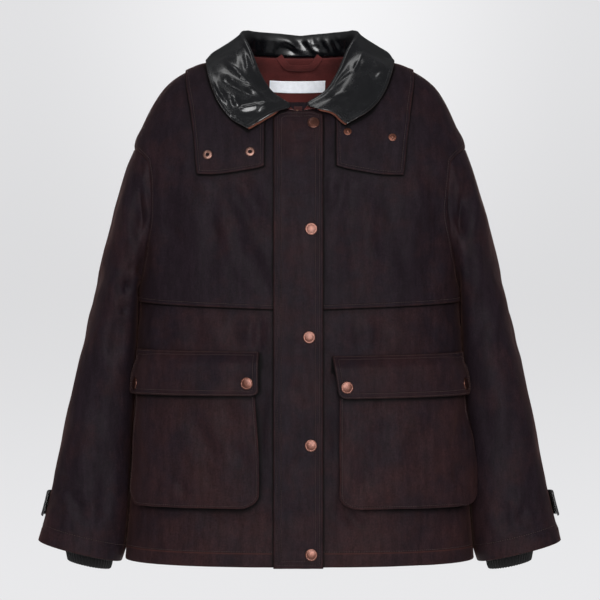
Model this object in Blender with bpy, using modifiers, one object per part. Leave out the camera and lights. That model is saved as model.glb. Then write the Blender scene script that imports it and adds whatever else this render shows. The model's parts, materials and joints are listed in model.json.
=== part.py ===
"""Waxed cotton jacket, worn form with no wearer.

Every cloth piece is a thin wall. The body panels are patches of one torso surface, given by a short table of rings,
and the pieces that lie on a panel are patches of the same surface moved out. The sleeves, knit cuffs and collar are
lofts through their own tables. Sizes in the tables are millimetres. X is across the jacket (+X the wearer's left),
-Y the front, +Z up. The origin is the middle of the neck, at the height of the neck points.
"""

import math

import bmesh
import bpy
import numpy as np
from mathutils import Vector

MM = 0.001

# ---------------------------------------------------------------- driving sizes, millimetres
CLOTH = 1.8  # waxed cotton with its lining
LEATHER = 2.0  # collar, top layer
UNDER = 1.1  # undercollar, neck lining, chin guard
PLACKET = 2.8  # storm fly, four layers
KNIT = 2.2
GAP = 0.3  # between two cloth edges that meet at a seam
LIE = 1.3  # between a panel and the piece that lies on it
PRESS = 1.9  # between the body's side and the sleeve that lies against it
CAPE_LIE = 2.2  # the cape rides a little higher over the shoulder

BODY_LEVELS = 13  # level of the hem ring
ARM_TOP, ARM_PIT = 7.0, 9.0  # levels of the armhole's top and of the armpit
HEM_Z = -688.0
YOKE_Z_FRONT, YOKE_Z_SIDE = -341.0, -328.0  # free lower edge of the storm yokes
TUCK_Z = -321.0  # top of the lower front panels, under the yokes
FRONT_EDGE_R, FRONT_EDGE_L = -8.5, 4.5  # x of the two front edges, with the zip between
PLACKET_X = (-34.7, 31.4)
PLACKET_TOP, PLACKET_CORNER = -70.5, 7.0
SNAP_R = 8.5
POCKET_DEPTH = 15.0  # how far the bellows pockets stand off the body
POCKET_TOP = -423.0
FLAP_OUT = POCKET_DEPTH + 4.2


def columns(text):
    """Reads a table: the first row names the columns."""
    rows = [line.split() for line in text.strip().splitlines()]
    return {head: np.array([float(row[k]) for row in rows[1:]]) for k, head in enumerate(rows[0])}


# Rings of the torso. half_w is at the sides; y and z are given at the side, the centre front and the centre back.
# n is the squareness of the ring seen from above, p how long the ring stays at the side's height.
TORSO = columns("""
level  half_w  z_side  y_front  z_front  y_back  z_back  n    p
-1     77      47      -66      -46      72      48      2.2  1.7
 0     84      19      -80      -69      76      18      2.2  1.7
 1     112     4       -95      -92      91      -4      2.25 1.8
 2     140     -1.5    -107     -120     102     -31     2.3  1.9
 3     166     -13     -116     -150     109     -61     2.3  2.0
 4     186     -29     -121     -175     113     -91     2.35 2.2
 5     204     -54     -125     -205     116     -126    2.4  2.4
 6     219     -84     -128     -235     118     -161    2.4  2.6
 7     231     -117    -130     -262     119     -201    2.4  2.6
 8     226     -200    -130     -296     120     -261    2.4  2.4
 9     222     -318    -129     -332     120     -326    2.45 2.0
10     224     -400    -130     -404     120     -400    2.5  2.0
11     228     -480    -131     -482     121     -480    2.5  2.0
12     235     -600    -133     -602     123     -600    2.5  2.0
13     241     -687    -134     -688     126     -686    2.5  2.0
""")

# Front and back edges of an armhole, in degrees from centre front and from centre back.
ARMHOLE = columns("""
level  front  back
7      62     61
7.4    60.5   60
7.8    61     61
8.2    64.5   64.5
8.6    72     72
8.85   80     80
9      90     90
""")

# The sleeve after its armhole ring: the outer and the under line, and how far it reaches to the front and back.
SLEEVE = columns("""
row  out_x  out_z  in_x  in_z  front  back  y_mid
0    231    -117   222   -320  68     70    0
1    243    -150   224   -331  76     77    4
2    257.5  -200   222   -345  81     82    10
3    270    -245   221   -363  82     84    15
4    283.5  -300   221   -392  80     83    19
5    297    -363   222   -432  77     81    20
6    312.5  -432   225   -478  74     77    18
7    329    -506   229   -535  70     73    15
8    343    -573   232   -597  66     68    11
9    356.5  -630   239   -655  62     64    7
10   365.4  -665   250   -692  59     60    3
""")

# The knit cuff, from its lower edge up to where it joins the inside of the sleeve.
KNIT_CUFF = columns("""
row  out_x  out_z  in_x  in_z  depth  y_mid
0    324.5  -691   264   -703  33     0
1    327    -678   261.5 -696  34     0
2    330    -664   259.5 -681  36     1
3    334    -650   257.5 -668  40     2
4    345    -642   256   -660  51     4
5    353    -641   254.5 -659  57     4.5
""")

# The collar's sections on each side, from the centre back (row 0) to its front end. base is the place on the neck
# ring, roll the top fold, edge the leaf's outer edge and bulge how far the leaf stands out half-way.
COLLAR_R = columns("""
row  base  roll_x  roll_y  roll_z  edge_x  edge_y  edge_z  bulge
0    180   0       75      49      0       112     -14     6
1    150   42      66      52      62      104     -12     6
2    120   71      40      53      108     72      -4      4
3    94    81      4       46      130     8       5       3
4    66    69.5    -27     21      126     -36     -24     5.4
5    44    58      -50     -9      110     -78     -61     4
6    26    38      -68     -41     91      -98     -83     3
7    4     13      -79     -60     71      -107    -94     1.5
""")
COLLAR_L = columns("""
row  base  roll_x  roll_y  roll_z  edge_x  edge_y  edge_z  bulge
0    180   0       75      49      0       112     -14     6
1    150   42      66      52      62      104     -12     6
2    120   72      40      53      110     72      -4      4
3    94    81.5    4       46.4    131     8       5       3.6
4    68    68.5    -27     21      130     -20     -9      5.4
5    46    55      -50     -10     120     -62     -38     4
6    26    36      -68     -40     98      -93     -67     3
7    3     11      -79     -57     65      -105    -88     1.5
""")

# The shoulder cape with its front lappets: a ribbon from one lappet's lower edge round the back to the other's.
# Each row gives the inner and the outer edge as degrees from centre front and torso level.
CAPE_BACK = columns("""
row  in_deg  in_level  out_deg  out_level
0    66      0.45      84       2.64
1    92      0.45      92       2.70
2    112     0.45      108      3.00
3    136     0.45      130      3.90
4    158     0.45      156      4.70
5    180     0.45      180      4.90
""")
# The front of each lappet, in x and z on the torso's front: inner edge, then outer edge.
LAPPET_R = columns("""
row  in_x  in_z  out_x  out_z
0    48    -146  138    -157
1    48    -120  142    -118
2    48.5  -96   147    -80
3    50    -76   152    -50
""")
LAPPET_L = columns("""
row  in_x  in_z  out_x  out_z
0    50    -146  140.5  -158
1    50    -120  145    -118
2    50.5  -96   150    -80
3    52    -76   154    -50
""")

# Placket snaps and the fasteners on the lappets, in x and z.
PLACKET_SNAPS = columns("""
x     z
19.2  -88
15.8  -232
13.1  -378
15.4  -524
15.9  -671
""")
SOCKETS = columns("""
x       z
-124.3  -131
-66.8   -127.5
""")
STUDS = columns("""
x      z
65.4   -100
126    -107.5
""")

# Pockets: inner edge x at the mouth and below, side end in degrees from centre front, height of the lower edge, and
# the part of the full depth that the bag has at its side end, under the flap and low down.
POCKETS = columns("""
side  mouth_in  pocket_in  pocket_deg  bottom  side_top  side_low
-1    58.5      53.5       74          -609    0.42      0.5
 1    53        53         76.5        -610    0.5       0.95
""")
# Flaps: inner edge x at the top and bottom, side end in degrees, heights of the top and lower edges at the inner and the
# side end, the part of the full depth at the side end, and the places of the snaps.
FLAPS = columns("""
side  top_x  low_x  flap_deg  top_in  top_side  low_in  low_side  depth  snap_in  snap_in_z  snap_side  snap_side_z
-1    54.5   54.5   77        -397    -395      -457    -457      0.52   71       -440       226        -443
 1    44     52     78.5      -403    -399      -461    -458      0.60   64       -445.5     228.5      -443.5
""")

# The hanger loop at the back of the neck: degrees from centre front, torso level and distance inside the body.
LOOP = columns("""
deg    level  inside
160.5  -0.10  5.2
163.5  0.06   6.8
168    0.26   8.6
172    0.39   9.6
180    0.42   10
188    0.39   9.6
192    0.26   8.6
196.5  0.06   6.8
199.5  -0.10  5.2
""")

COLOURS = {  # colour, roughness, metallic
    "waxed": ((0.022, 0.016, 0.018), 0.55, 0.0),
    "leather": ((0.008, 0.008, 0.009), 0.28, 0.0),
    "rust": ((0.075, 0.022, 0.021), 0.75, 0.0),
    "copper": ((0.72, 0.38, 0.27), 0.3, 1.0),
    "brass": ((0.25, 0.17, 0.10), 0.4, 1.0),
    "knit": ((0.012, 0.010, 0.011), 0.9, 0.0),
    "label": ((0.82, 0.85, 0.90), 0.6, 0.0),
}


# ---------------------------------------------------------------- curves and the torso surface
def curve(x, xs, ys):
    """Smooth curve through the rows of a table, with no overshoot, read at x. It runs on straight past the ends."""
    x = np.asarray(x, float)
    h = np.diff(xs)
    d = np.diff(ys) / h
    m = np.empty(len(xs))
    prod, total = d[:-1] * d[1:], d[:-1] + d[1:]
    m[1:-1] = np.where(prod > 0, 2 * prod / np.where(total == 0, 1, total), 0)
    m[0], m[-1] = d[0], d[-1]
    k = np.clip(np.searchsorted(xs, x, side="right") - 1, 0, len(xs) - 2)
    t = np.clip((x - xs[k]) / h[k], 0, 1)
    y = ys[k] * (1 + 2 * t) * (1 - t) ** 2 + ys[k + 1] * t * t * (3 - 2 * t)
    y = y + h[k] * (m[k] * t * (1 - t) ** 2 + m[k + 1] * t * t * (t - 1))
    return y + np.minimum(x - xs[0], 0) * m[0] + np.maximum(x - xs[-1], 0) * m[-1]


def ring(name, level):
    return curve(level, TORSO["level"], TORSO[name])


def bare_torso(deg, level):
    angle = np.radians(deg)
    s, c = np.sin(angle), np.cos(angle)
    n, p = ring("n", level), ring("p", level)
    front = c >= 0
    x = ring("half_w", level) * np.sign(s) * np.abs(s) ** (2 / n)
    y = np.where(front, ring("y_front", level), ring("y_back", level)) * np.abs(c) ** (2 / n)
    z_side = ring("z_side", level)
    z_mid = np.where(front, ring("z_front", level), ring("z_back", level))
    return np.stack(np.broadcast_arrays(x, y, z_side + (z_mid - z_side) * np.abs(c) ** p), -1)


def torso(deg, level, out=0.0):
    """Point of the torso surface, moved out of it. deg is 0 at centre front, 90 at +X, 180 at centre back."""
    deg, level, out = np.broadcast_arrays(*(np.asarray(v, float) for v in (deg, level, out)))
    round_ = bare_torso(deg + 0.6, level) - bare_torso(deg - 0.6, level)
    down = bare_torso(deg, level + 0.04) - bare_torso(deg, level - 0.04)
    normal = np.cross(down, round_)
    normal /= np.linalg.norm(normal, axis=-1, keepdims=True)
    return bare_torso(deg, level) + normal * out[..., None]


def deg_at(x, level):
    """Degrees from centre front of the point x across, on the ring at this level."""
    share = np.clip(np.abs(x) / ring("half_w", level), 0, 1)
    return np.degrees(np.arcsin(share ** (ring("n", level) / 2))) * np.sign(x)


def level_where(deg_of, z, low=-1.0, high=13.4):
    """Level at which the point deg_of(level) has height z, by halving."""
    z = np.asarray(z, float)
    low, high = np.full(z.shape, low, float), np.full(z.shape, high, float)
    for _ in range(40):
        mid = (low + high) / 2
        below = bare_torso(deg_of(mid), mid)[..., 2] < z
        high, low = np.where(below, mid, high), np.where(below, low, mid)
    return (low + high) / 2


def spot(x, z):
    """(deg, level) of the point of the torso's front at x and z."""
    x, z = np.broadcast_arrays(np.asarray(x, float), np.asarray(z, float))
    widths = np.interp(np.abs(x), TORSO["half_w"][:9], TORSO["level"][:9])
    level = level_where(lambda at: deg_at(x, at), z, low=-1.0)
    level = np.maximum(level, np.where(np.abs(x) > TORSO["half_w"][0], widths, -1.0))
    return np.stack([deg_at(x, level), level], -1)


def body_x(y, z):
    """How far out the body's side is at this y and z."""
    y, z = np.asarray(y, float), np.asarray(z, float)

    def deg_of(level):
        reach = np.where(y < 0, -ring("y_front", level), ring("y_back", level))
        off = np.degrees(np.arcsin(np.clip(np.abs(y) / reach, 0, 1) ** (ring("n", level) / 2)))
        return np.where(y < 0, 90 - off, 90 + off)

    level = level_where(deg_of, z, low=ARM_TOP)
    return bare_torso(deg_of(level), level)[..., 0]


def ease(t):
    t = np.clip(t, 0, 1)
    return t * t * (3 - 2 * t)


# ---------------------------------------------------------------- scene and materials
for old in list(bpy.data.objects):
    bpy.data.objects.remove(old, do_unlink=True)

jacket = bpy.data.collections.new("Waxed cotton jacket")
bpy.context.scene.collection.children.link(jacket)


def material(kind, name):
    colour, roughness, metallic = COLOURS[kind]
    made = bpy.data.materials.new(name)
    made.use_nodes = True
    shader = made.node_tree.nodes["Principled BSDF"]
    shader.inputs["Base Color"].default_value = (*colour, 1)
    shader.inputs["Roughness"].default_value = roughness
    shader.inputs["Metallic"].default_value = metallic
    made.diffuse_color = (*colour, 1)
    return made


def add(name, points, faces, kind, smooth=True):
    """One object in metres from points in millimetres, its faces turned outwards."""
    mesh = bpy.data.meshes.new(name)
    mesh.from_pydata([tuple(float(v) * MM for v in p) for p in points], [], faces)
    made = bmesh.new()
    made.from_mesh(mesh)
    bmesh.ops.recalc_face_normals(made, faces=made.faces)
    made.to_mesh(mesh)
    made.free()
    mesh.validate()
    if smooth:
        mesh.shade_smooth()
        mesh.set_sharp_from_angle(angle=math.radians(40))
    obj = bpy.data.objects.new(name, mesh)
    obj.data.materials.append(material(kind, name + "_finish"))
    jacket.objects.link(obj)
    return obj


def cells(grids):
    """Joins grids of parameter pairs that share edges: (pairs, triangles, border edges)."""
    pairs, index, triangles = [], {}, []
    for grid in grids:
        keys = []
        for row in grid:
            line = []
            for a, b in row:
                key = (round(float(a), 5), round(float(b), 5))
                if key not in index:
                    index[key] = len(pairs)
                    pairs.append((float(a), float(b)))
                line.append(index[key])
            keys.append(line)
        for j in range(len(keys) - 1):
            for i in range(len(keys[0]) - 1):
                a, b, c, d = keys[j][i], keys[j][i + 1], keys[j + 1][i + 1], keys[j + 1][i]
                for tri in ((a, b, c), (a, c, d)):
                    if len(set(tri)) == 3:
                        triangles.append(tri)
    seen = {}
    for a, b, c in triangles:
        for edge in ((a, b), (b, c), (c, a)):
            seen[edge] = seen.get(edge, 0) + 1
    border = [edge for edge in seen if edge[::-1] not in seen]
    return np.array(pairs), triangles, border


def wall(name, grids, outer, inner, kind):
    """A wall between two skins over the same cells. outer and inner turn parameter pairs into points."""
    pairs, triangles, border = cells(grids)
    count = len(pairs)
    points = np.concatenate([outer(pairs), inner(pairs)])
    faces = [tri for tri in triangles] + [(c + count, b + count, a + count) for a, b, c in triangles]
    faces += [(b, a, a + count, b + count) for a, b in border]
    return add(name, points, faces, kind)


def on_body(out, thick):
    """The two skins of a wall that lies on the torso surface; out may depend on (deg, level)."""
    value = out if callable(out) else (lambda deg, level: np.full(np.shape(deg), float(out)))

    def outer(pairs):
        return torso(pairs[:, 0], pairs[:, 1], value(pairs[:, 0], pairs[:, 1]))

    def inner(pairs):
        return torso(pairs[:, 0], pairs[:, 1], value(pairs[:, 0], pairs[:, 1]) - thick)

    return outer, inner


def grid_normals(points, closed):
    """Normals of a grid of points, rows by columns; closed says that the columns meet."""
    if closed:
        along = np.roll(points, -1, 1) - np.roll(points, 1, 1)
    else:
        along = np.gradient(points, axis=1)
    down = np.gradient(points, axis=0)
    normal = np.cross(down, along)
    return normal / np.linalg.norm(normal, axis=-1, keepdims=True)


def skins(name, outer, inner, closed, kind):
    """A wall between two grids of points, closed round its columns or not."""
    rows, cols = outer.shape[:2]
    count = rows * cols
    at = lambda j, i: j * cols + i % cols
    faces = []
    last = cols if closed else cols - 1
    for j in range(rows - 1):
        for i in range(last):
            a, b, c, d = at(j, i), at(j, i + 1), at(j + 1, i + 1), at(j + 1, i)
            faces += [(a, b, c), (a, c, d)]
            faces += [(c + count, b + count, a + count), (d + count, c + count, a + count)]
    for i in range(last):
        for j, flip in ((0, 1), (rows - 1, 0)):
            a, b = at(j, i), at(j, i + 1)
            a, b = (b, a) if flip else (a, b)
            faces.append((b, a, a + count, b + count))
    if not closed:
        for j in range(rows - 1):
            for i, flip in ((0, 0), (cols - 1, 1)):
                a, b = j * cols + i, (j + 1) * cols + i
                a, b = (b, a) if flip else (a, b)
                faces.append((b, a, a + count, b + count))
    return add(name, np.concatenate([outer.reshape(-1, 3), inner.reshape(-1, 3)]), faces, kind)


def solidified(name, grid, thick, kind):
    """An open grid of points made a wall with Solidify, thickened inwards."""
    rows, cols = grid.shape[:2]
    faces = []
    for j in range(rows - 1):
        for i in range(cols - 1):
            a = j * cols + i
            faces += [(a, a + 1, a + cols + 1), (a, a + cols + 1, a + cols)]
    mesh = bpy.data.meshes.new(name)
    mesh.from_pydata([tuple(float(v) * MM for v in p) for p in grid.reshape(-1, 3)], [], faces)
    mesh.update()
    mesh.shade_smooth()
    obj = bpy.data.objects.new(name, mesh)
    obj.data.materials.append(material(kind, name + "_finish"))
    jacket.objects.link(obj)
    solid = obj.modifiers.new("Cloth", "SOLIDIFY")
    solid.thickness = thick * MM
    solid.offset = -1
    solid.use_even_offset = True
    solid.use_quality_normals = True
    return obj


def between(low, high, shares):
    return low + (high - low) * np.asarray(shares)


# ---------------------------------------------------------------- body panels
SEAM = GAP / 2 + 0.1  # each panel stops this far short of its seam


def seam_deg(level, deg):
    """How many degrees SEAM is, on the ring at this level, near deg."""
    step = np.linalg.norm(bare_torso(deg + 0.5, level) - bare_torso(deg - 0.5, level), axis=-1)
    return SEAM / step


def armhole(level, which):
    """Degrees from centre front (or back) of the panel's edge at this level: the shoulder seam, armhole or side seam."""
    return np.interp(level, ARMHOLE["level"], ARMHOLE[which])


FRONT_SHARES = np.array([0, 0.14, 0.3, 0.46, 0.62, 0.76, 0.88, 1.0])
BACK_SHARES = np.linspace(0, 1, 17)
WING = np.array([0.0, 0.25, 0.5, 0.75, 1.0])
SHOULDER_LEVELS = np.array([0, 0.45, 1, 2, 3, 4, 5, 6, ARM_TOP])
ARM_LEVELS = np.array([7.4, 7.8, 8.2, 8.6, 8.85, ARM_PIT])


def row_of(level, start, end, shares):
    """A row of (deg, level) pairs across a panel at one level."""
    deg = between(start, end, shares)
    return np.stack([deg, np.full(len(shares), level)], -1)


def front_grids(side):
    """Upper front: from the neck to the yoke's free edge, with the shoulder wing above the armhole."""
    edge_x = FRONT_EDGE_L if side > 0 else FRONT_EDGE_R
    main, wing = [], []
    for level in np.concatenate([SHOULDER_LEVELS, ARM_LEVELS]):
        cut = armhole(level, "front") if level >= ARM_TOP else ARMHOLE["front"][0]
        end = side * (cut - (seam_deg(level, cut) if level >= ARM_TOP else 0))
        at = level + (0.004 if level == 0 else 0)
        main.append(row_of(at, deg_at(edge_x, at), end, FRONT_SHARES))
        if level <= ARM_TOP:
            start = side * ARMHOLE["front"][0]
            if level == ARM_TOP:
                start = end
            wing.append(row_of(at, start, side * (90 - seam_deg(level, 90)), WING))
    # The wing stops just short of the armhole's top seam; its first column is the main grid's last.
    wing[-1][1:, 1] -= 0.006
    last = []
    for share in FRONT_SHARES:
        deg_of = lambda at, share=share: between(deg_at(edge_x, at), side * (90 - seam_deg(at, 90)), share)
        z = between(YOKE_Z_FRONT, YOKE_Z_SIDE, share)
        level = float(level_where(deg_of, z))
        last.append((float(deg_of(level)), level))
    main.append(np.array(last))
    return [main, wing]


def lower_out(deg, level):
    """The lower front lies under the yoke's edge at its top, and comes out to the body's surface below it."""
    z = bare_torso(deg, level)[:, 2]
    return -(CLOTH + LIE + 0.8) * (1 - ease((-z - 346) / 44))


def lower_grid(side):
    edge_x = FRONT_EDGE_L if side > 0 else FRONT_EDGE_R
    shares = np.array([0, 0.12, 0.26, 0.4, 0.54, 0.68, 0.8, 0.9, 1.0])
    rows = []
    for z in (TUCK_Z, -346, -366, -392):
        line = []
        for share in shares:
            deg_of = lambda at, share=share: between(deg_at(edge_x, at), side * (90 - seam_deg(at, 90)), share)
            level = float(level_where(deg_of, z))
            line.append((float(deg_of(level)), level))
        rows.append(np.array(line))
    for level in (10.4, 11, 11.5, 12, 12.5, 13):
        rows.append(row_of(level, deg_at(edge_x, level), side * (90 - seam_deg(level, 90)), shares))
    return rows


def back_grids():
    """The back in one piece, from side seam to side seam, with a shoulder wing above each armhole."""
    shares = BACK_SHARES
    main, wings = [], ([], [])
    levels = np.concatenate([SHOULDER_LEVELS, ARM_LEVELS, [10, 11, 12, 13]])
    for level in levels:
        if level >= ARM_TOP:
            cut = armhole(min(level, ARM_PIT), "back")
            end = cut - seam_deg(level, 180 - cut)
        else:
            end = ARMHOLE["back"][0]
        at = level + (0.004 if level == 0 else 0)
        main.append(row_of(at, 180 - end, 180 + end, shares))
        if level <= ARM_TOP:
            free = 90 - seam_deg(level, 90)
            for sign, wing in zip((-1, 1), wings):
                wing.append(row_of(at, 180 + sign * end, 180 + sign * free, WING)[::sign])
    wings[0][-1][:-1, 1] -= 0.006
    wings[1][-1][1:, 1] -= 0.006
    return [main, *wings]


for side, name in ((-1, "right"), (1, "left")):
    wall("front_upper_" + name, front_grids(side), *on_body(0, CLOTH), "waxed")
    wall("front_lower_" + name, [lower_grid(side)], *on_body(lower_out, CLOTH), "waxed")
wall("back", back_grids(), *on_body(0, CLOTH), "waxed")


# ---------------------------------------------------------------- placket, zip and chin guard
def strip(xs, zs):
    """Grid of (deg, level) pairs over x across and z down the centre front."""
    return [spot(np.array(xs), np.full(len(xs), z)) for z in zs]


ROWS_Z = np.array([-82, -96, -118, -148, -175, -205, -235, -262, -300, -341, -392, -440, -482, -540, -600, -645])
left_x, right_x = PLACKET_X
placket_xs = [left_x, left_x + 8, -12, 0, 12, right_x - 8, right_x]
placket = [spot(np.array(placket_xs), PLACKET_TOP - PLACKET_CORNER * np.array([1, 0.25, 0.05, 0, 0.05, 0.25, 1]) ** 1.0)]
placket += strip(placket_xs, np.append(ROWS_Z, HEM_Z - 1.2))
wall("placket", [placket], *on_body(LIE + PLACKET, PLACKET), "waxed")

zip_mid, zip_half = (FRONT_EDGE_R + FRONT_EDGE_L) / 2, (FRONT_EDGE_L - FRONT_EDGE_R) / 2 - 1.0
zip_rows = strip([zip_mid - zip_half, zip_mid, zip_mid + zip_half], np.concatenate([[-61, -69.5], ROWS_Z, [HEM_Z + 6]]))
wall("zip", [zip_rows], *on_body(-0.2, 2.0), "brass")

guard_rows = strip([-19, -9, 0, 9, 18], [-54, -62, -70, -82, -96, -112])
wall("chin_guard", [guard_rows], *on_body(-3.6, UNDER), "rust")


# ---------------------------------------------------------------- shoulder cape with lappets
def cape_rows():
    rows = []
    for side, lappet in ((-1, LAPPET_R), (1, LAPPET_L)):
        half = []
        for k in range(len(lappet["row"])):
            a = spot(side * lappet["in_x"][k], lappet["in_z"][k])
            b = spot(side * lappet["out_x"][k], lappet["out_z"][k])
            half.append([abs(a[0]), a[1], abs(b[0]), b[1]])
        for k in range(len(CAPE_BACK["row"])):
            half.append([CAPE_BACK[c][k] for c in ("in_deg", "in_level", "out_deg", "out_level")])
        half = np.array(half)
        steps = np.arange(len(half), dtype=float)
        at = np.concatenate([np.arange(0, 3, 1), [2.5, 3, 3.25, 3.5, 3.75, 4.0, 4.5], np.arange(5, len(half) - 0.9, 0.5)])
        half = np.stack([curve(at, steps, half[:, c]) for c in range(4)], -1)
        if side < 0:
            half[:, [0, 2]] *= -1
            rows += list(half)
        else:
            half[:, [0, 2]] -= 0.0
            rows += [np.array([r[0] - 360, r[1], r[2] - 360, r[3]]) for r in half[::-1][1:]]
    return rows


cape_shares = np.array([0, 0.12, 0.3, 0.52, 0.76, 1.0])
cape_grid = [np.stack([between(r[0], r[2], cape_shares), between(r[1], r[3], cape_shares)], -1) for r in cape_rows()]
wall("cape", [cape_grid], *on_body(CAPE_LIE + CLOTH, CLOTH), "waxed")


# ---------------------------------------------------------------- sleeves
SLEEVE_ROWS = np.array([0, 0.4, 1, 1.7, 2.5, 3.4, 4.5, 5.8, 7, 8.2, 9.2, 10])


def armhole_loop(side):
    """The sleeve's first ring: over the armhole's top to its front edge, down to the armpit and up the back."""
    loop = []
    for which, sign in (("front", 1), ("back", -1)):
        first = ARMHOLE[which][0]
        half = [(deg, ARM_TOP) for deg in between(90, first, WING)]
        half += [(armhole(level, which), level) for level in ARM_LEVELS]
        if which == "back":
            half = [(180 - deg, level) for deg, level in half[::-1]][1:-1]
        loop += half
    loop = np.array(loop)
    loop[:, 0] *= side
    return loop


def sleeve(side, name):
    loop = armhole_loop(side)
    first = torso(loop[:, 0], loop[:, 1])
    normal = torso(loop[:, 0], loop[:, 1], 1.0) - first
    get = lambda column, row: curve(row, SLEEVE["row"], SLEEVE[column])
    z_mid = (get("out_z", 0) + get("in_z", 0)) / 2
    z_half = (get("out_z", 0) - get("in_z", 0)) / 2
    depth = np.where(first[:, 1] < 0, get("front", 0), get("back", 0))
    turn_0 = np.arctan2(np.abs(first[:, 1]) / depth, (first[:, 2] - z_mid) / z_half)
    pit = len(WING) + len(ARM_LEVELS) - 1
    even = np.pi * np.minimum(np.arange(len(loop)), len(loop) - np.arange(len(loop))) / pit
    front = np.arange(len(loop)) <= pit

    def ellipse(row):
        turn = turn_0 + (even - turn_0) * ease(row / 5)
        c, s = np.cos(turn), np.sin(turn)
        c, s = np.sign(c) * np.abs(c) ** 0.92, np.abs(s) ** 0.92
        x = (get("out_x", row) + get("in_x", row)) / 2 + (get("out_x", row) - get("in_x", row)) / 2 * c
        z = (get("out_z", row) + get("in_z", row)) / 2 + (get("out_z", row) - get("in_z", row)) / 2 * c
        y = get("y_mid", row) + np.where(front, -get("front", row), get("back", row)) * s
        return np.stack([side * x, y, z], -1)

    rows = SLEEVE_ROWS
    rings = []
    start = ellipse(0)
    for row in rows:
        keep = 1 - ease(row / 3.2)
        rings.append(ellipse(row) + keep * (first - start))
    grid = np.array(rings)
    away = grid[1] - grid[0]
    away /= np.linalg.norm(away, axis=-1, keepdims=True)
    grid[0] += away * (GAP + 0.15)
    # Below the armpit the sleeve lies against the body's side, pressed flat where they meet.
    for ring_, row in zip(grid[1:], rows[1:]):
        low = ring_[:, 2] < first[pit, 2] - 4
        near = body_x(ring_[:, 1], ring_[:, 2]) + PRESS
        ring_[:, 0] = np.where(low & (side * ring_[:, 0] < near), side * near, ring_[:, 0])
    normals = grid_normals(grid, True) * side
    middle = grid.mean(axis=1, keepdims=True)
    if np.sum(normals[3] * (grid[3] - middle[3])) < 0:
        normals = -normals
    # Where the sleeve would turn under the body's edge, its end keeps the body's own direction.
    under = np.sum(normal * away, axis=-1) < 0.02
    normals[0][under] = normal[under]
    inner = grid - CLOTH * normals
    skins("sleeve_" + name, grid, inner, True, "waxed")
    return grid, normals


sleeves = {}
for side, name in ((-1, "right"), (1, "left")):
    sleeves[name] = sleeve(side, name)


def knit_cuff(side, name):
    get = lambda column, row: curve(row, KNIT_CUFF["row"], KNIT_CUFF[column])
    turn = np.radians(np.arange(0, 360, 20))
    rings = []
    for row in np.array([0, 1, 2, 3, 4, 5]):
        c = np.cos(turn)
        x = (get("out_x", row) + get("in_x", row)) / 2 + (get("out_x", row) - get("in_x", row)) / 2 * c
        z = (get("out_z", row) + get("in_z", row)) / 2 + (get("out_z", row) - get("in_z", row)) / 2 * c
        y = get("y_mid", row) - get("depth", row) * np.sin(turn)
        rings.append(np.stack([side * x, y, z], -1))
    grid = np.array(rings)
    normals = grid_normals(grid, True)
    if np.sum(normals[1] * (grid[1] - grid[1].mean(axis=0))) < 0:
        normals = -normals
    normals[-1] = normals[-2]
    skins("knit_cuff_" + name, grid, grid - KNIT * normals, True, "knit")


for side, name in ((-1, "right"), (1, "left")):
    knit_cuff(side, name)


# Sleeve points between the table's rings: columns 0 is the outer line, 7 the under line, more than 7 the back.
def on_sleeve(name, row, column, out):
    """Point at a height z down the sleeve (row of its grid) and a place round it, both may fall between."""
    grid, normals = sleeves[name]
    cols = grid.shape[1]
    j, i = int(math.floor(row)), int(math.floor(column))
    a, b = row - j, column - i
    j2, i2 = min(j + 1, grid.shape[0] - 1), (i + 1) % cols
    i %= cols
    mix = lambda g: (g[j, i] * (1 - a) + g[j2, i] * a) * (1 - b) + (g[j, i2] * (1 - a) + g[j2, i2] * a) * b
    normal = mix(normals)
    return mix(grid) + out * normal / np.linalg.norm(normal)


STRAP_ROWS = (9.17, 9.80)  # upper and lower edge of the cuff strap, as rows of the sleeve
STRAP_COLUMNS = np.array([0.6, 0.1, -0.4, -1.0, -1.7, -2.4])  # from the outer line round to the back
for side, name in ((-1, "right"), (1, "left")):
    outer, inner = [], []
    for row in between(*STRAP_ROWS, [0, 0.5, 1]):
        lift = np.array([4.2, 6.0, 5.6, 4.6, 4.0, 3.8])
        outer.append([on_sleeve(name, row, c + 14 * 0, o) for c, o in zip(STRAP_COLUMNS, lift)])
        inner.append([on_sleeve(name, row, c, o - CLOTH) for c, o in zip(STRAP_COLUMNS, lift)])
    skins("cuff_strap_" + name, np.array(outer), np.array(inner), False, "leather")


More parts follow.
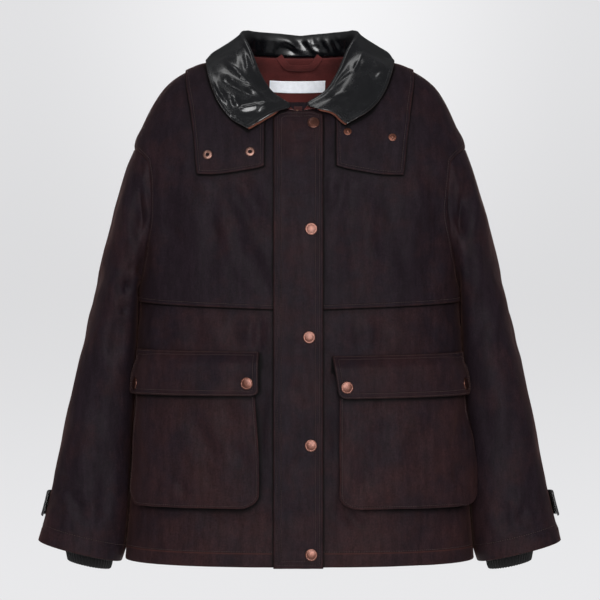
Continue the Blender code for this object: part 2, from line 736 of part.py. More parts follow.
# ---------------------------------------------------------------- collar and undercollar
def collar_sections():
    """Mid-surface of the collar wall: stand, roll and leaf, one section after another round the neck."""
    sections = []
    for side, rows in ((-1, COLLAR_R), (1, COLLAR_L)):
        at = np.array([0, 0.7, 1.4, 2, 2.6, 3.2, 3.8, 4.4, 5, 5.6, 6.3, 7])
        half = []
        for row in at:
            get = lambda column: float(curve(row, rows["row"], rows[column]))
            base = torso(get("base"), 0.0, -CLOTH / 2) + np.array([0, 0, 0.6])
            roll = np.array([get("roll_x"), get("roll_y"), get("roll_z")])
            edge = np.array([get("edge_x"), get("edge_y"), get("edge_z")])
            flat = np.array([roll[0], roll[1], 0.0])
            away = flat / np.linalg.norm(flat)
            height = roll[2] - base[2]
            drop = min(5.0, 0.35 * height)
            inside = roll - away * 3.6 - np.array([0, 0, drop])
            outside = roll + away * 4.4 - np.array([0, 0, 4.5])
            base = base + np.array([0, 0, LEATHER / 2 if height < 15 else 1.4])
            stand = base + (inside - base) * 0.5
            leaf = edge - outside
            out = np.cross(np.cross(away, [0, 0, 1]), leaf)
            out /= np.linalg.norm(out)
            if out @ (away + [0, 0, 0.6]) < 0:
                out = -out
            line = [base, stand, inside, roll, outside]
            for share, part in ((0.25, 0.8), (0.5, 1.0), (0.78, 0.6)):
                line.append(outside + leaf * share + out * get("bulge") * part)
            line.append(edge)
            half.append(np.array(line) * np.array([side, 1, 1]))
        sections += half[::-1] if side < 0 else half[1:]
    return np.array(sections)  # section, place along it, xyz


LEAF_CLEAR = 9.5  # the leaf's middle over the torso surface: cape or placket, undercollar and half its own wall
cloud_deg, cloud_level = np.meshgrid(np.linspace(-180, 178, 180), np.linspace(-0.2, 5, 53))
cloud = torso(cloud_deg.ravel(), cloud_level.ravel())
cloud_out = torso(cloud_deg.ravel(), cloud_level.ravel(), 1.0) - cloud


def cleared(points, clear):
    """The points, each moved out to at least this distance from the torso surface."""
    moved = points.reshape(-1, 3).copy()
    for _ in range(3):
        near = np.argmin(np.linalg.norm(moved[:, None] - cloud[None], axis=-1), axis=1)
        height = np.sum((moved - cloud[near]) * cloud_out[near], axis=-1)
        moved += cloud_out[near] * np.maximum(clear - height, 0)[:, None]
    return moved.reshape(points.shape)


sections = collar_sections()
sections[:, 5:] = cleared(sections[:, 5:], LEAF_CLEAR)
collar_normals = grid_normals(sections, False)
middle = sections.shape[0] // 2
if collar_normals[middle, 3, 2] < 0:
    collar_normals = -collar_normals
half = LEATHER / 2
skins("collar", sections + half * collar_normals, sections - half * collar_normals, False, "leather")

leaf = sections[:, 4:].copy()
leaf_normals = collar_normals[:, 4:].copy()
leaf[:, 0] += (leaf[:, 1] - leaf[:, 0]) * 0.6
leaf[:, -1] += (leaf[:, -1] - leaf[:, -2]) / np.linalg.norm(leaf[:, -1] - leaf[:, -2], axis=-1, keepdims=True) * 1.2
top = leaf - (half + 0.82) * leaf_normals
skins("undercollar", top, top - UNDER * leaf_normals, False, "rust")


# ---------------------------------------------------------------- back neck lining, label and hanger loop
lining_end = ARMHOLE["back"][0]
lining_wing = between(90, 180 - lining_end, WING[1:-1])
lining_degs = np.concatenate([[90.4], lining_wing, between(180 - lining_end, 180 + lining_end, BACK_SHARES)])
lining_degs = np.concatenate([lining_degs, 360 - lining_wing[::-1], [269.6]])
lining = [np.stack([lining_degs, np.full(len(lining_degs), level)], -1) for level in (0.02, 0.45, 1, 2, 3, 4)]
wall("back_lining", [lining], *on_body(-CLOTH - 0.8, UNDER), "rust")

LABEL_W, LABEL_H = 81.0, 16.5
label_level = np.array([1.3, 1.61, 1.91])
label = []
for level in label_level:
    a = 180 - float(deg_at(LABEL_W / 2, level))
    label.append(row_of(level, a, 360 - a, np.linspace(0, 1, 7)))
wall("label", [label], *on_body(-CLOTH - 0.8 - UNDER - 1.3, 1.0), "label")


def hanger_loop():
    """A flat tape: each row of the table is a place on its middle line."""
    place = torso(LOOP["deg"], LOOP["level"], -LOOP["inside"])
    along = np.gradient(place, axis=0)
    along /= np.linalg.norm(along, axis=-1, keepdims=True)
    outward = torso(LOOP["deg"], LOOP["level"], 0.0) - place
    outward /= np.linalg.norm(outward, axis=-1, keepdims=True)
    across = np.cross(along, outward)
    across /= np.linalg.norm(across, axis=-1, keepdims=True)
    outward = np.cross(across, along)
    width, thick = 8.0, 1.4
    near = np.stack([place - across * width / 2, place + across * width / 2], 1) + outward[:, None] * thick / 2
    far = near - outward[:, None] * thick
    skins("hanger_loop", near, far, False, "waxed")


hanger_loop()


# ---------------------------------------------------------------- bellows pockets and flaps
def side_depth(share, part):
    """A bag and its flap lie flatter towards the side of the body, where they have this part of their full depth."""
    return 1 - (1 - part) * ease((share - 0.6) / 0.36)


def pocket(k, name):
    side = POCKETS["side"][k]
    bottom = POCKETS["bottom"][k]
    start = POCKETS["pocket_in"][k]
    end = POCKETS["pocket_deg"][k]
    wall_in = 4.0  # slant of the gusset, across
    radius = 17.0
    level = 11.0
    width = np.linalg.norm(np.diff(torso(np.linspace(deg_at(start, level), end, 30), level), axis=0), axis=1).sum()
    across = np.array([0, wall_in, 11, 24, 46, 70, 95, 120, 145, width - 22, width - 11, width - wall_in, width])
    heights = [POCKET_TOP, -440, -470, -505, -540, -570, bottom + 12, bottom + wall_in, bottom]
    grid = []
    for j, z in enumerate(heights):
        row = []
        for i, s in enumerate(across):
            near = min(s, width - s)
            lift = radius * (1 - math.sqrt(max(0.0, 1 - (1 - min(near / radius, 1)) ** 2)))
            z_here = z + lift * ease((-z + (bottom + 60)) / 60.0)
            share = s / width
            inner = start + (POCKETS["mouth_in"][k] - start) * (1 - ease((-z_here - 425) / 60))
            deg_of = lambda at: side * between(float(deg_at(inner, at)), end, share)
            at = float(level_where(lambda lv: deg_of(lv), z_here))
            rim = i in (0, len(across) - 1) or j == len(heights) - 1
            out = LIE + 0.5 if rim else POCKET_DEPTH
            if not rim and (i in (1, len(across) - 2) or j == len(heights) - 2):
                out = POCKET_DEPTH - 1.5
            if not rim and j == 0:
                out -= 2.0
            if not rim:
                part = between(POCKETS["side_top"][k], POCKETS["side_low"][k], ease((-z_here - 468) / 60))
                out = LIE + 0.5 + (out - LIE - 0.5) * side_depth(share, part)
            row.append(torso(deg_of(at), at, out))
        grid.append(row)
    grid = np.array(grid)
    if side < 0:
        grid = grid[:, ::-1]
    solidified("pocket_" + name, grid[::-1], CLOTH, "waxed")


def flap_point(k, share, z, drop, lift=1.0):
    """Point of a flap's outer face: share of its width, height z, drop of its length, lift as part of the full depth."""
    get = lambda column: FLAPS[column][k]
    inner = between(get("top_x"), get("low_x"), drop)
    deg_of = lambda at: get("side") * between(float(deg_at(inner, at)), get("flap_deg"), share)
    at = float(level_where(deg_of, z))
    depth = (FLAP_OUT - LIE - CLOTH) * lift * side_depth(share, get("depth"))
    return torso(deg_of(at), at, LIE + CLOTH + 0.2 + depth)


def flap(k, name):
    side = FLAPS["side"][k]
    get = lambda column: FLAPS[column][k]
    shares = np.array([0, 0.03, 0.09, 0.22, 0.38, 0.54, 0.7, 0.84, 0.94, 0.985, 1.0])
    corner = np.array([5, 1.2, 0, 0, 0, 0, 0, 0, 0, 1.2, 5.0])
    drops = columns("""
    share  out
    0      0.0
    0.05   0.16
    0.16   0.58
    0.30   0.92
    0.48   1.0
    0.74   1.0
    1.0    0.97
    """)
    grid = []
    for drop, lift in zip(drops["share"], drops["out"]):
        row = []
        for share, cut in zip(shares, corner):
            top = between(get("top_in"), get("top_side"), share)
            low = between(get("low_in"), get("low_side"), share) + cut
            row.append(flap_point(k, share, between(top, low, drop), drop, lift))
        grid.append(row)
    grid = np.array(grid)
    if side < 0:
        grid = grid[:, ::-1]
    solidified("flap_" + name, grid[::-1], CLOTH, "waxed")


for k, name in ((0, "right"), (1, "left")):
    pocket(k, name)
    flap(k, name)


# ---------------------------------------------------------------- snaps, sockets and studs
def turned(name, profile, place, normal, kind, steps=16, closed=False):
    """A turned shape: its profile (radius, height), from the top down its outer side, swept round by Screw."""
    mesh = bpy.data.meshes.new(name)
    edges = [(k, k + 1) for k in range(len(profile) - 1)] + ([(len(profile) - 1, 0)] if closed else [])
    mesh.from_pydata([(r * MM, 0, h * MM) for r, h in profile], edges, [])
    obj = bpy.data.objects.new(name, mesh)
    obj.data.materials.append(material(kind, name + "_finish"))
    jacket.objects.link(obj)
    screw = obj.modifiers.new("Turn", "SCREW")
    screw.steps = screw.render_steps = steps
    screw.use_merge_vertices = True
    screw.merge_threshold = 0.00001
    obj.location = Vector([float(v) * MM for v in place])
    obj.rotation_mode = "QUATERNION"
    obj.rotation_quaternion = Vector((0, 0, 1)).rotation_difference(Vector([float(v) for v in normal]))
    return obj


CAP = [(0, 2.5), (4.8, 2.3), (7.6, 1.5), (SNAP_R, 0.7), (SNAP_R - 0.4, 0.0), (0, 0.0)]
STUD = [(0, 3.4), (2.2, 3.2), (2.6, 2.2), (2.3, 1.1), (5.6, 0.7), (5.6, 0.0), (0, 0)]
SOCKET = [(2.4, 2.0), (5.4, 1.8), (6.7, 0.9), (6.5, 0.0), (1.8, 0.0), (1.8, 1.2)]


def on_surface(deg, level, out):
    place = torso(deg, level, out)
    normal = torso(deg, level, out + 1) - place
    return place, normal


def on_flap(k, x, z):
    """Place and way out of a snap on a flap, at this x and z."""
    drop = (FLAPS["top_in"][k] - z) / (FLAPS["top_in"][k] - FLAPS["low_in"][k])
    low, high = 0.0, 1.0
    for _ in range(24):
        share = (low + high) / 2
        if abs(flap_point(k, share, z, drop)[0]) > x:
            high = share
        else:
            low = share
    across = flap_point(k, share + 0.03, z, drop) - flap_point(k, share - 0.03, z, drop)
    down = flap_point(k, share, z - 3, drop) - flap_point(k, share, z + 3, drop)
    normal = np.cross(across, down)
    normal *= -np.sign(normal[1]) / np.linalg.norm(normal)
    return flap_point(k, share, z, drop) + normal * 0.9, normal


for k, (x, z) in enumerate(zip(PLACKET_SNAPS["x"], PLACKET_SNAPS["z"])):
    deg, level = spot(x, z)
    turned(f"snap_placket_{k + 1}", CAP, *on_surface(deg, level, LIE + PLACKET + 0.6), "copper")
for k, (x, z) in enumerate(zip(SOCKETS["x"], SOCKETS["z"])):
    deg, level = spot(x, z)
    turned(f"socket_{k + 1}", SOCKET, *on_surface(deg, level, CAPE_LIE + CLOTH + 0.6), "copper", closed=True)
for k, (x, z) in enumerate(zip(STUDS["x"], STUDS["z"])):
    deg, level = spot(x, z)
    turned(f"stud_{k + 1}", STUD, *on_surface(deg, level, CAPE_LIE + CLOTH + 0.6), "copper")
for k, name in ((0, "right"), (1, "left")):
    for where in ("in", "side"):
        turned(f"snap_flap_{name}_{where}", CAP, *on_flap(k, FLAPS["snap_" + where][k], FLAPS[f"snap_{where}_z"][k]), "copper")
for side, name in ((-1, "right"), (1, "left")):
    place = on_sleeve(name, sum(STRAP_ROWS) / 2, -2.05, 4.6)
    normal = on_sleeve(name, sum(STRAP_ROWS) / 2, -2.05, 5.6) - place
    turned(f"snap_strap_{name}", CAP, place, normal, "copper")
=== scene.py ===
"""Looks of the waxed cotton jacket: every cloth piece as a thin closed shell with its folds, seams and stitches.

The shells stand on the same torso, sleeve and collar surfaces as the solids, so their tables are repeated here.
Sizes in the tables are millimetres. +X is the wearer's left, -Y the front, +Z up.
"""

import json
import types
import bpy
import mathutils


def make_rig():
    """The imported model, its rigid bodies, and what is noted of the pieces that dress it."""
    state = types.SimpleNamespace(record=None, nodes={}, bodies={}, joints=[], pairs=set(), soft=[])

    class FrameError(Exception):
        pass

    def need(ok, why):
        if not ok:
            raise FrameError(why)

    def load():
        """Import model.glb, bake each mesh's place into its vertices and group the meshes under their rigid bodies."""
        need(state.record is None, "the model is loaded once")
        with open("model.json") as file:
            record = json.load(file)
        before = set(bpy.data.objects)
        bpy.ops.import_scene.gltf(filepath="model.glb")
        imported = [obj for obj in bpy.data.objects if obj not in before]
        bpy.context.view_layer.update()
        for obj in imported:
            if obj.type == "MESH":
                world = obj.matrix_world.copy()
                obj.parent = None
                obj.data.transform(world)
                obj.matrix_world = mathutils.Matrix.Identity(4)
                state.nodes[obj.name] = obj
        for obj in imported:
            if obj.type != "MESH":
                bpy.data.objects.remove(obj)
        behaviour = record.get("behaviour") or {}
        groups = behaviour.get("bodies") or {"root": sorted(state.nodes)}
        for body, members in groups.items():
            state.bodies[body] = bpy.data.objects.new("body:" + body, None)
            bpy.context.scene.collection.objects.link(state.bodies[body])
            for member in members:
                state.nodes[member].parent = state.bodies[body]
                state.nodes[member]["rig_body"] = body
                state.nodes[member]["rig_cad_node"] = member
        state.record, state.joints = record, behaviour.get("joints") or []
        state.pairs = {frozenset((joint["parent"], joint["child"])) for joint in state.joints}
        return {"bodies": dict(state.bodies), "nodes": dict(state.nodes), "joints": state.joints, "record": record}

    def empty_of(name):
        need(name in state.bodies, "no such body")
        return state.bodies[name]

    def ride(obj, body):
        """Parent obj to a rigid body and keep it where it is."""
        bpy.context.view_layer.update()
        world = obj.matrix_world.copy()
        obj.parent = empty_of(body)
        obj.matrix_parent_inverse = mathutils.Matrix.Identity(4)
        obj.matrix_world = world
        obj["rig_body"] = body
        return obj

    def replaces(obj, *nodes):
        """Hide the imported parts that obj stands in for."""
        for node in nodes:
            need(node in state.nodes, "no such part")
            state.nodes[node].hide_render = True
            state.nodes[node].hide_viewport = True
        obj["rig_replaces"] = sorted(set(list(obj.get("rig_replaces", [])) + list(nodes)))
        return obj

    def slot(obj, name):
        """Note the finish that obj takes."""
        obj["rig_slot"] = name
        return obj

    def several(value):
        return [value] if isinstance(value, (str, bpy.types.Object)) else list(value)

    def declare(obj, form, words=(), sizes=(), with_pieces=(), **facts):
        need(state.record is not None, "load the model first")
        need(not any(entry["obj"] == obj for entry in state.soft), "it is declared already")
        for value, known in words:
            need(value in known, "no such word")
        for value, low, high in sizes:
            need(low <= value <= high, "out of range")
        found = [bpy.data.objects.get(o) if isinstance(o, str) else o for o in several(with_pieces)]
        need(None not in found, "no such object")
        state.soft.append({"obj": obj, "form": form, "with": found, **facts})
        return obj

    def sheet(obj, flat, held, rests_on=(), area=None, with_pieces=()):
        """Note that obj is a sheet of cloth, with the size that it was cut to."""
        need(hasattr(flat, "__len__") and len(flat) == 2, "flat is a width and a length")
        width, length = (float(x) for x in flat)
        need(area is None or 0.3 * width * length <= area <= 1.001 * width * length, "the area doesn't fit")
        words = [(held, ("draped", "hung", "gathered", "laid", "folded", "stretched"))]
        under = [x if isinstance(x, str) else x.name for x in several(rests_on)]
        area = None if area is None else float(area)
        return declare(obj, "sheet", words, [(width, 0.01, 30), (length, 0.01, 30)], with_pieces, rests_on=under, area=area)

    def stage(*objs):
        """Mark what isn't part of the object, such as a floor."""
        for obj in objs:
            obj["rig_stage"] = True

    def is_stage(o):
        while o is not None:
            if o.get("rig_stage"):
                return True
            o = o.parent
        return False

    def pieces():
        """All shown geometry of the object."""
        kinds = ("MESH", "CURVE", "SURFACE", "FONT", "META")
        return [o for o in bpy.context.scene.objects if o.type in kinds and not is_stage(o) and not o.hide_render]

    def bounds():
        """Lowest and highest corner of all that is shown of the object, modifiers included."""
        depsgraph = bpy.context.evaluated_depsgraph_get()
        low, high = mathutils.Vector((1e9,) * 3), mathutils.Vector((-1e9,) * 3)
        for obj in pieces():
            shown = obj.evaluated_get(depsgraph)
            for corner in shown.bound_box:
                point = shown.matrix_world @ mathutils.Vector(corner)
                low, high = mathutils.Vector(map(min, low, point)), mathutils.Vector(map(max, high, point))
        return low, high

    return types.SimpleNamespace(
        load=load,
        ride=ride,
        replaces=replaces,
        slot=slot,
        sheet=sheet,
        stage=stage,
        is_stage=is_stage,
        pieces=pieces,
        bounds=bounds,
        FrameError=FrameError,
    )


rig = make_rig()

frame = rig.load()

import json
import math

import bmesh
import bpy
import numpy as np
from mathutils import Vector
from mathutils.bvhtree import BVHTree
from mathutils.kdtree import KDTree

ours = set(frame["nodes"].values()) | set(frame["bodies"].values())
for old in [o for o in bpy.data.objects if o not in ours]:
    bpy.data.objects.remove(old, do_unlink=True)

CAD_BOX = [[float(c) for c in corner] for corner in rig.bounds()]
MM = 0.001

# ---------------------------------------------------------------- sizes, as in the construction
CLOTH, LEATHER, UNDER, PLACKET, KNIT = 1.8, 2.0, 1.1, 2.8, 2.2
GAP, LIE, PRESS, CAPE_LIE = 0.3, 1.3, 1.9, 2.2
SEAM = GAP / 2 + 0.1
ARM_TOP, ARM_PIT = 7.0, 9.0
HEM_Z = -688.0
YOKE_Z_FRONT, YOKE_Z_SIDE, TUCK_Z = -341.0, -328.0, -321.0
FRONT_EDGE_R, FRONT_EDGE_L = -8.5, 4.5
PLACKET_X = (-34.7, 31.4)
PLACKET_TOP, PLACKET_CORNER = -70.5, 7.0
SNAP_R = 8.5
POCKET_DEPTH, POCKET_TOP = 15.0, -423.0
FLAP_OUT = POCKET_DEPTH + 4.2


def columns(text):
    """Reads a table: the first row names the columns."""
    rows = [line.split() for line in text.strip().splitlines()]
    return {head: np.array([float(row[k]) for row in rows[1:]]) for k, head in enumerate(rows[0])}


TORSO = columns("""
level  half_w  z_side  y_front  z_front  y_back  z_back  n    p
-1     77      47      -66      -46      72      48      2.2  1.7
 0     84      19      -80      -69      76      18      2.2  1.7
 1     112     4       -95      -92      91      -4      2.25 1.8
 2     140     -1.5    -107     -120     102     -31     2.3  1.9
 3     166     -13     -116     -150     109     -61     2.3  2.0
 4     186     -29     -121     -175     113     -91     2.35 2.2
 5     204     -54     -125     -205     116     -126    2.4  2.4
 6     219     -84     -128     -235     118     -161    2.4  2.6
 7     231     -117    -130     -262     119     -201    2.4  2.6
 8     226     -200    -130     -296     120     -261    2.4  2.4
 9     222     -318    -129     -332     120     -326    2.45 2.0
10     224     -400    -130     -404     120     -400    2.5  2.0
11     228     -480    -131     -482     121     -480    2.5  2.0
12     235     -600    -133     -602     123     -600    2.5  2.0
13     241     -687    -134     -688     126     -686    2.5  2.0
""")
ARMHOLE = columns("""
level  front  back
7      62     61
7.4    60.5   60
7.8    61     61
8.2    64.5   64.5
8.6    72     72
8.85   80     80
9      90     90
""")
SLEEVE = columns("""
row  out_x  out_z  in_x  in_z  front  back  y_mid
0    231    -117   222   -320  68     70    0
1    243    -150   224   -331  76     77    4
2    257.5  -200   222   -345  81     82    10
3    270    -245   221   -363  82     84    15
4    283.5  -300   221   -392  80     83    19
5    297    -363   222   -432  77     81    20
6    312.5  -432   225   -478  74     77    18
7    329    -506   229   -535  70     73    15
8    343    -573   230   -597  66     68    11
9    356.5  -630   235   -655  62     64    7
10   365.4  -663   248.5 -692  59     60    3
""")
KNIT_CUFF = columns("""
row  out_x  out_z  in_x  in_z  depth  y_mid
0    324.5  -691   264   -703  33     0
1    327    -678   261.5 -696  34     0
2    330    -664   259.5 -681  36     1
3    334    -650   257.5 -668  40     2
4    345    -642   256   -660  51     4
5    353    -641   254.5 -659  57     4.5
""")
COLLAR_R = columns("""
row  base  roll_x  roll_y  roll_z  edge_x  edge_y  edge_z  bulge
0    180   0       75      49      0       112     -14     6
1    150   42      66      52      62      104     -12     6
2    120   71      40      53      108     72      -4      4
3    94    81      4       46      130     8       5       3
4    66    69.5    -27     21      126     -36     -24     5.4
5    44    58      -50     -9      110     -78     -61     4
6    26    38      -68     -41     91      -98     -83     3
7    4     13      -79     -60     71      -107    -94     1.5
""")
COLLAR_L = columns("""
row  base  roll_x  roll_y  roll_z  edge_x  edge_y  edge_z  bulge
0    180   0       75      49      0       112     -14     6
1    150   42      66      52      62      104     -12     6
2    120   72      40      53      110     72      -4      4
3    94    81.5    4       46.4    131     8       5       3.6
4    68    68.5    -27     21      130     -20     -9      5.4
5    46    55      -50     -10     120     -62     -38     4
6    26    36      -68     -40     98      -93     -67     3
7    3     11      -79     -57     65      -105    -88     1.5
""")
CAPE_BACK = columns("""
row  in_deg  in_level  out_deg  out_level
0    66      0.45      84       2.64
1    92      0.45      92       2.70
2    112     0.45      108      3.00
3    136     0.45      130      3.90
4    158     0.45      156      4.70
5    180     0.45      180      4.90
""")
LAPPET_R = columns("""
row  in_x  in_z  out_x  out_z
0    48    -146  138    -157
1    48    -120  142    -118
2    48.5  -96   147    -80
3    50    -76   152    -50
""")
LAPPET_L = columns("""
row  in_x  in_z  out_x  out_z
0    50    -146  140.5  -158
1    50    -120  145    -118
2    50.5  -96   150    -80
3    52    -76   154    -50
""")
PLACKET_SNAPS = columns("""
x     z
19.2  -88
15.8  -232
13.1  -378
15.4  -524
15.9  -671
""")
SOCKETS = columns("""
x       z
-124.3  -131
-66.8   -127.5
""")
STUDS = columns("""
x      z
65.4   -100
126    -107.5
""")
POCKETS = columns("""
side  mouth_in  pocket_in  pocket_deg  bottom  side_top  side_low
-1    58.5      53.5       74          -609    0.42      0.5
 1    53        53         76.5        -610    0.5       0.95
""")
FLAPS = columns("""
side  top_x  low_x  flap_deg  top_in  top_side  low_in  low_side  depth  snap_in  snap_in_z  snap_side  snap_side_z
-1    54.5   54.5   77        -397    -395      -457    -457      0.52   71       -440       226        -443
 1    44     52     78.5      -403    -399      -461    -458      0.60   64       -445.5     228.5      -443.5
""")
LOOP = columns("""
deg    level  inside
160.5  -0.10  5.2
163.5  0.06   6.8
168    0.26   8.6
172    0.39   9.6
180    0.42   10
188    0.39   9.6
192    0.26   8.6
196.5  0.06   6.8
199.5  -0.10  5.2
""")

# ---------------------------------------------------------------- folds
# Soft folds of the body, in x and z of the front (or back) seen square on: start, end, how far the middle bows to the
# left of the way, half width, height (troughs are negative) and lean (to which side the steeper slope is).
FOLDS_FRONT = columns("""
x1    z1    x2    z2    bow  half  high  lean
-118  -160  -124  -316  4    12    -2.6  0.3
-101  -176  -52   -318  -6   9     -3.4  -0.4
-92   -150  -46   -240  4    9     -2.8  -0.3
-134  -215  -84   -296  8    12    -2.4  0.2
-150  -190  -160  -318  -5   13    -2.2  0.3
-180  -150  -186  -300  4    10    -2.4  -0.3
-70   -250  -42   -330  5    8     -2.2  0.2
-165  -120  -120  -205  6    14    2.0   0
-205  -205  -150  -250  -5   10    -2.0  0.2
70    -150  83    -325  -5   13    -2.6  0.3
43    -152  38    -215  2    8     -3.0  0.3
163   -138  197   -262  8    10    -3.4  -0.3
120   -165  142   -300  -6   14    -2.0  0
186   -190  170   -318  4    12    -2.2  0.2
104   -205  112   -320  3    9     -1.6  0.3
205   -250  160   -300  5    10    -1.8  0.2
95    -255  150   -290  -8   12    1.6   0
-56   -345  -60   -404  2    6     -3.2  -0.3
-95   -350  -88   -398  2    10    -1.8  0
-150  -352  -140  -400  3    11    -1.5  0.3
-190  -340  -180  -405  -3   9     -1.8  0
72    -348  80    -400  3    9     -1.8  0.2
120   -350  112   -402  -4   12    -1.6  0
176   -345  184   -402  3    10    -1.6  0.2
52    -588  92    -640  -5   7     -3.2  0.4
44    -470  50    -560  2    5     -1.8  0
-46   -430  -52   -560  -2   6     -1.8  0
-60   -615  -20   -650  4    9     -1.8  0
-150  -618  -70   -640  6    12    -1.4  0
110   -625  190   -640  -5   13    -1.5  0.2
-215  -560  -200  -650  3    9     -1.6  0
218   -570  205   -655  -3   9     -1.6  0
""")
FOLDS_BACK = columns("""
x1    z1    x2    z2    bow  half  high  lean
-168  -150  -120  -300  -10  13    -3.4  0.3
-120  -170  -92   -360  6    12    -2.6  -0.2
-60   -190  -72   -400  -6   14    -2.4  0.2
12    -175  -10   -330  8    15    -1.8  0
70    -185  86    -385  7    12    -2.8  -0.3
130   -165  100   -310  9    12    -3.0  0.2
176   -160  140   -300  -8   11    -3.2  0.3
196   -300  120   -360  -10  12    -2.8  0
-198  -300  -130  -350  8    11    -2.6  0.2
-150  -390  -160  -560  6    16    -2.0  0.2
-90   -420  -78   -620  -6   16    -2.2  -0.2
-12   -380  -22   -600  8    18    -1.8  0
58    -410  66    -600  -7   15    -2.2  0.2
128   -400  144   -590  5    15    -2.4  -0.2
190   -420  180   -620  -4   12    -2.0  0.2
-30   -610  60    -650  5    12    -1.5  0
-190  -580  -120  -655  -6   11    -1.8  0.2
""")
FOLDS_PLACKET = columns("""
x1    z1    x2    z2    bow  half  high  lean
-30   -92   28    -96   -16  4.5   -0.9  0
-29   -101  28    -107  -19  5     -0.8  0
-28   -113  26    -118  -20  6     -0.6  0
-32   -158  8     -180  -3   6     -0.9  0.3
-30   -230  4     -246  4    7     -0.8  0
-12   -380  10    -395  -3   6     -0.9  0.2
-6    -512  10    -530  4    6     -1.0  0.2
8     -530  -14   -560  3    7     -0.9  0
-20   -440  6     -452  -3   8     -0.6  0
-26   -610  12    -640  4    9     -0.8  0
""")
FOLDS_POCKET_R = columns("""
x1    z1    x2    z2    bow  half  high  lean
-148  -470  -104  -552  -5   10    -4.2  0.4
-104  -462  -96   -500  4    11    -2.4  0
-164  -566  -154  -599  2    6     -3.0  0.2
-205  -455  -196  -545  4    10    -2.2  0
-92   -520  -72   -560  4    8     -2.2  0.2
-190  -575  -160  -590  -3   7     1.8   0
-130  -545  -118  -585  2    9     -1.6  0
""")
FOLDS_POCKET_L = columns("""
x1    z1    x2    z2    bow  half  high  lean
223   -468  205   -540  5    8     -4.0  -0.3
211   -548  217   -584  2    6     -3.0  0
74    -520  92    -592  4    9     -3.2  0.3
120   -480  108   -560  -5   12    -2.0  0
150   -500  166   -575  6    12    -2.2  0.2
178   -470  186   -520  -3   10    -1.6  0
96    -468  128   -490  3    10    -1.8  0
""")
FOLDS_FLAP = columns("""
x1    z1    x2    z2    bow  half  high  lean
-190  -400  -196  -452  3    12    -1.1  0
-128  -402  -122  -450  -3   14    -1.0  0
-84   -404  -90   -452  3    10    -1.2  0
92    -408  86    -452  -3   12    -1.1  0
140   -406  150   -452  4    14    -1.0  0
196   -404  190   -450  3    11    -1.1  0
""")
FOLDS_CAPE = columns("""
x1    z1    x2    z2    bow  half  high  lean
-142  -62   -120  -118  -4   12    1.1   0
-110  -78   -104  -138  3    11    -0.7  0
-72   -96   -78   -138  2    9     0.7   0
142   -62   122   -120  4    12    1.1   0
108   -80   110   -138  -3   11    -0.7  0
70    -92   84    -140  -3   9     0.8   0
""")
# Folds of each sleeve's front and back, in the distance across from the body's middle (always positive) and z.
FOLDS_SLEEVE_R = columns("""
x1    z1    x2    z2    bow  half  high  lean
224   -152  221   -262  -3   9     -8.0  0.2
221   -262  252   -342  -6   10    -7.0  -0.2
252   -342  262   -420  -4   11    -6.0  0.2
204   -146  199   -205  2    5     -4.0  0
212   -170  208   -222  -2   5     3.4   0
216   -196  206   -240  2    5     -3.2  0
243   -300  215   -322  3    7     -5.0  0.3
232   -286  218   -304  2    6     4.4   0
246   -352  222   -334  -3   7     -4.6  0.2
276   -392  272   -520  8    16    -4.4  0.3
250   -430  262   -520  -5   12    -3.0  0
262   -170  268   -260  3    10    -3.2  0.3
284   -262  300   -380  -5   14    -2.6  0
318   -582  302   -622  3    7     -4.6  0.3
326   -560  340   -600  -3   8     -3.0  0
296   -600  300   -640  3    8     -3.0  0.2
288   -520  272   -590  -5   12    -3.2  0.2
262   -560  268   -640  4    9     -3.4  0
332   -612  336   -650  2    6     -2.4  0
""")
FOLDS_SLEEVE_L = columns("""
x1    z1    x2    z2    bow  half  high  lean
212   -152  208   -258  -5   7     -7.5  -0.2
226   -172  210   -250  5    8     -7.5  0.3
234   -146  228   -262  -9   9     -8.0  0.2
220   -162  214   -215  3    6     3.6   0
246   -176  240   -300  6    11    3.0   0
228   -262  222   -330  4    9     -4.0  0
252   -300  236   -400  5    13    -4.2  0.2
268   -250  276   -360  -4   13    -2.6  0
290   -330  300   -450  5    15    -2.4  0.2
258   -430  262   -540  -5   13    -3.4  0
284   -470  290   -580  4    15    -2.4  0.2
303   -640  318   -612  4    7     -4.4  0.3
322   -590  334   -632  -4   8     -3.0  0
276   -600  282   -655  3    9     -3.0  0
330   -500  338   -560  3    10    -2.0  0
""")
FOLDS_SLEEVE_BACK = columns("""
x1    z1    x2    z2    bow  half  high  lean
232   -170  224   -280  -6   10    -6.5  0.2
246   -200  262   -300  6    10    -5.0  -0.2
268   -290  226   -330  5    9     -5.5  0.3
278   -330  232   -372  -5   9     -4.5  0.2
282   -300  290   -400  -4   11    -3.0  0
262   -400  254   -500  5    12    -4.0  0.2
296   -420  312   -520  -6   13    -3.2  0
280   -540  262   -620  5    10    -3.4  0.2
316   -580  300   -640  4    8     -4.0  0.3
336   -560  344   -620  -3   8     -3.0  0
""")
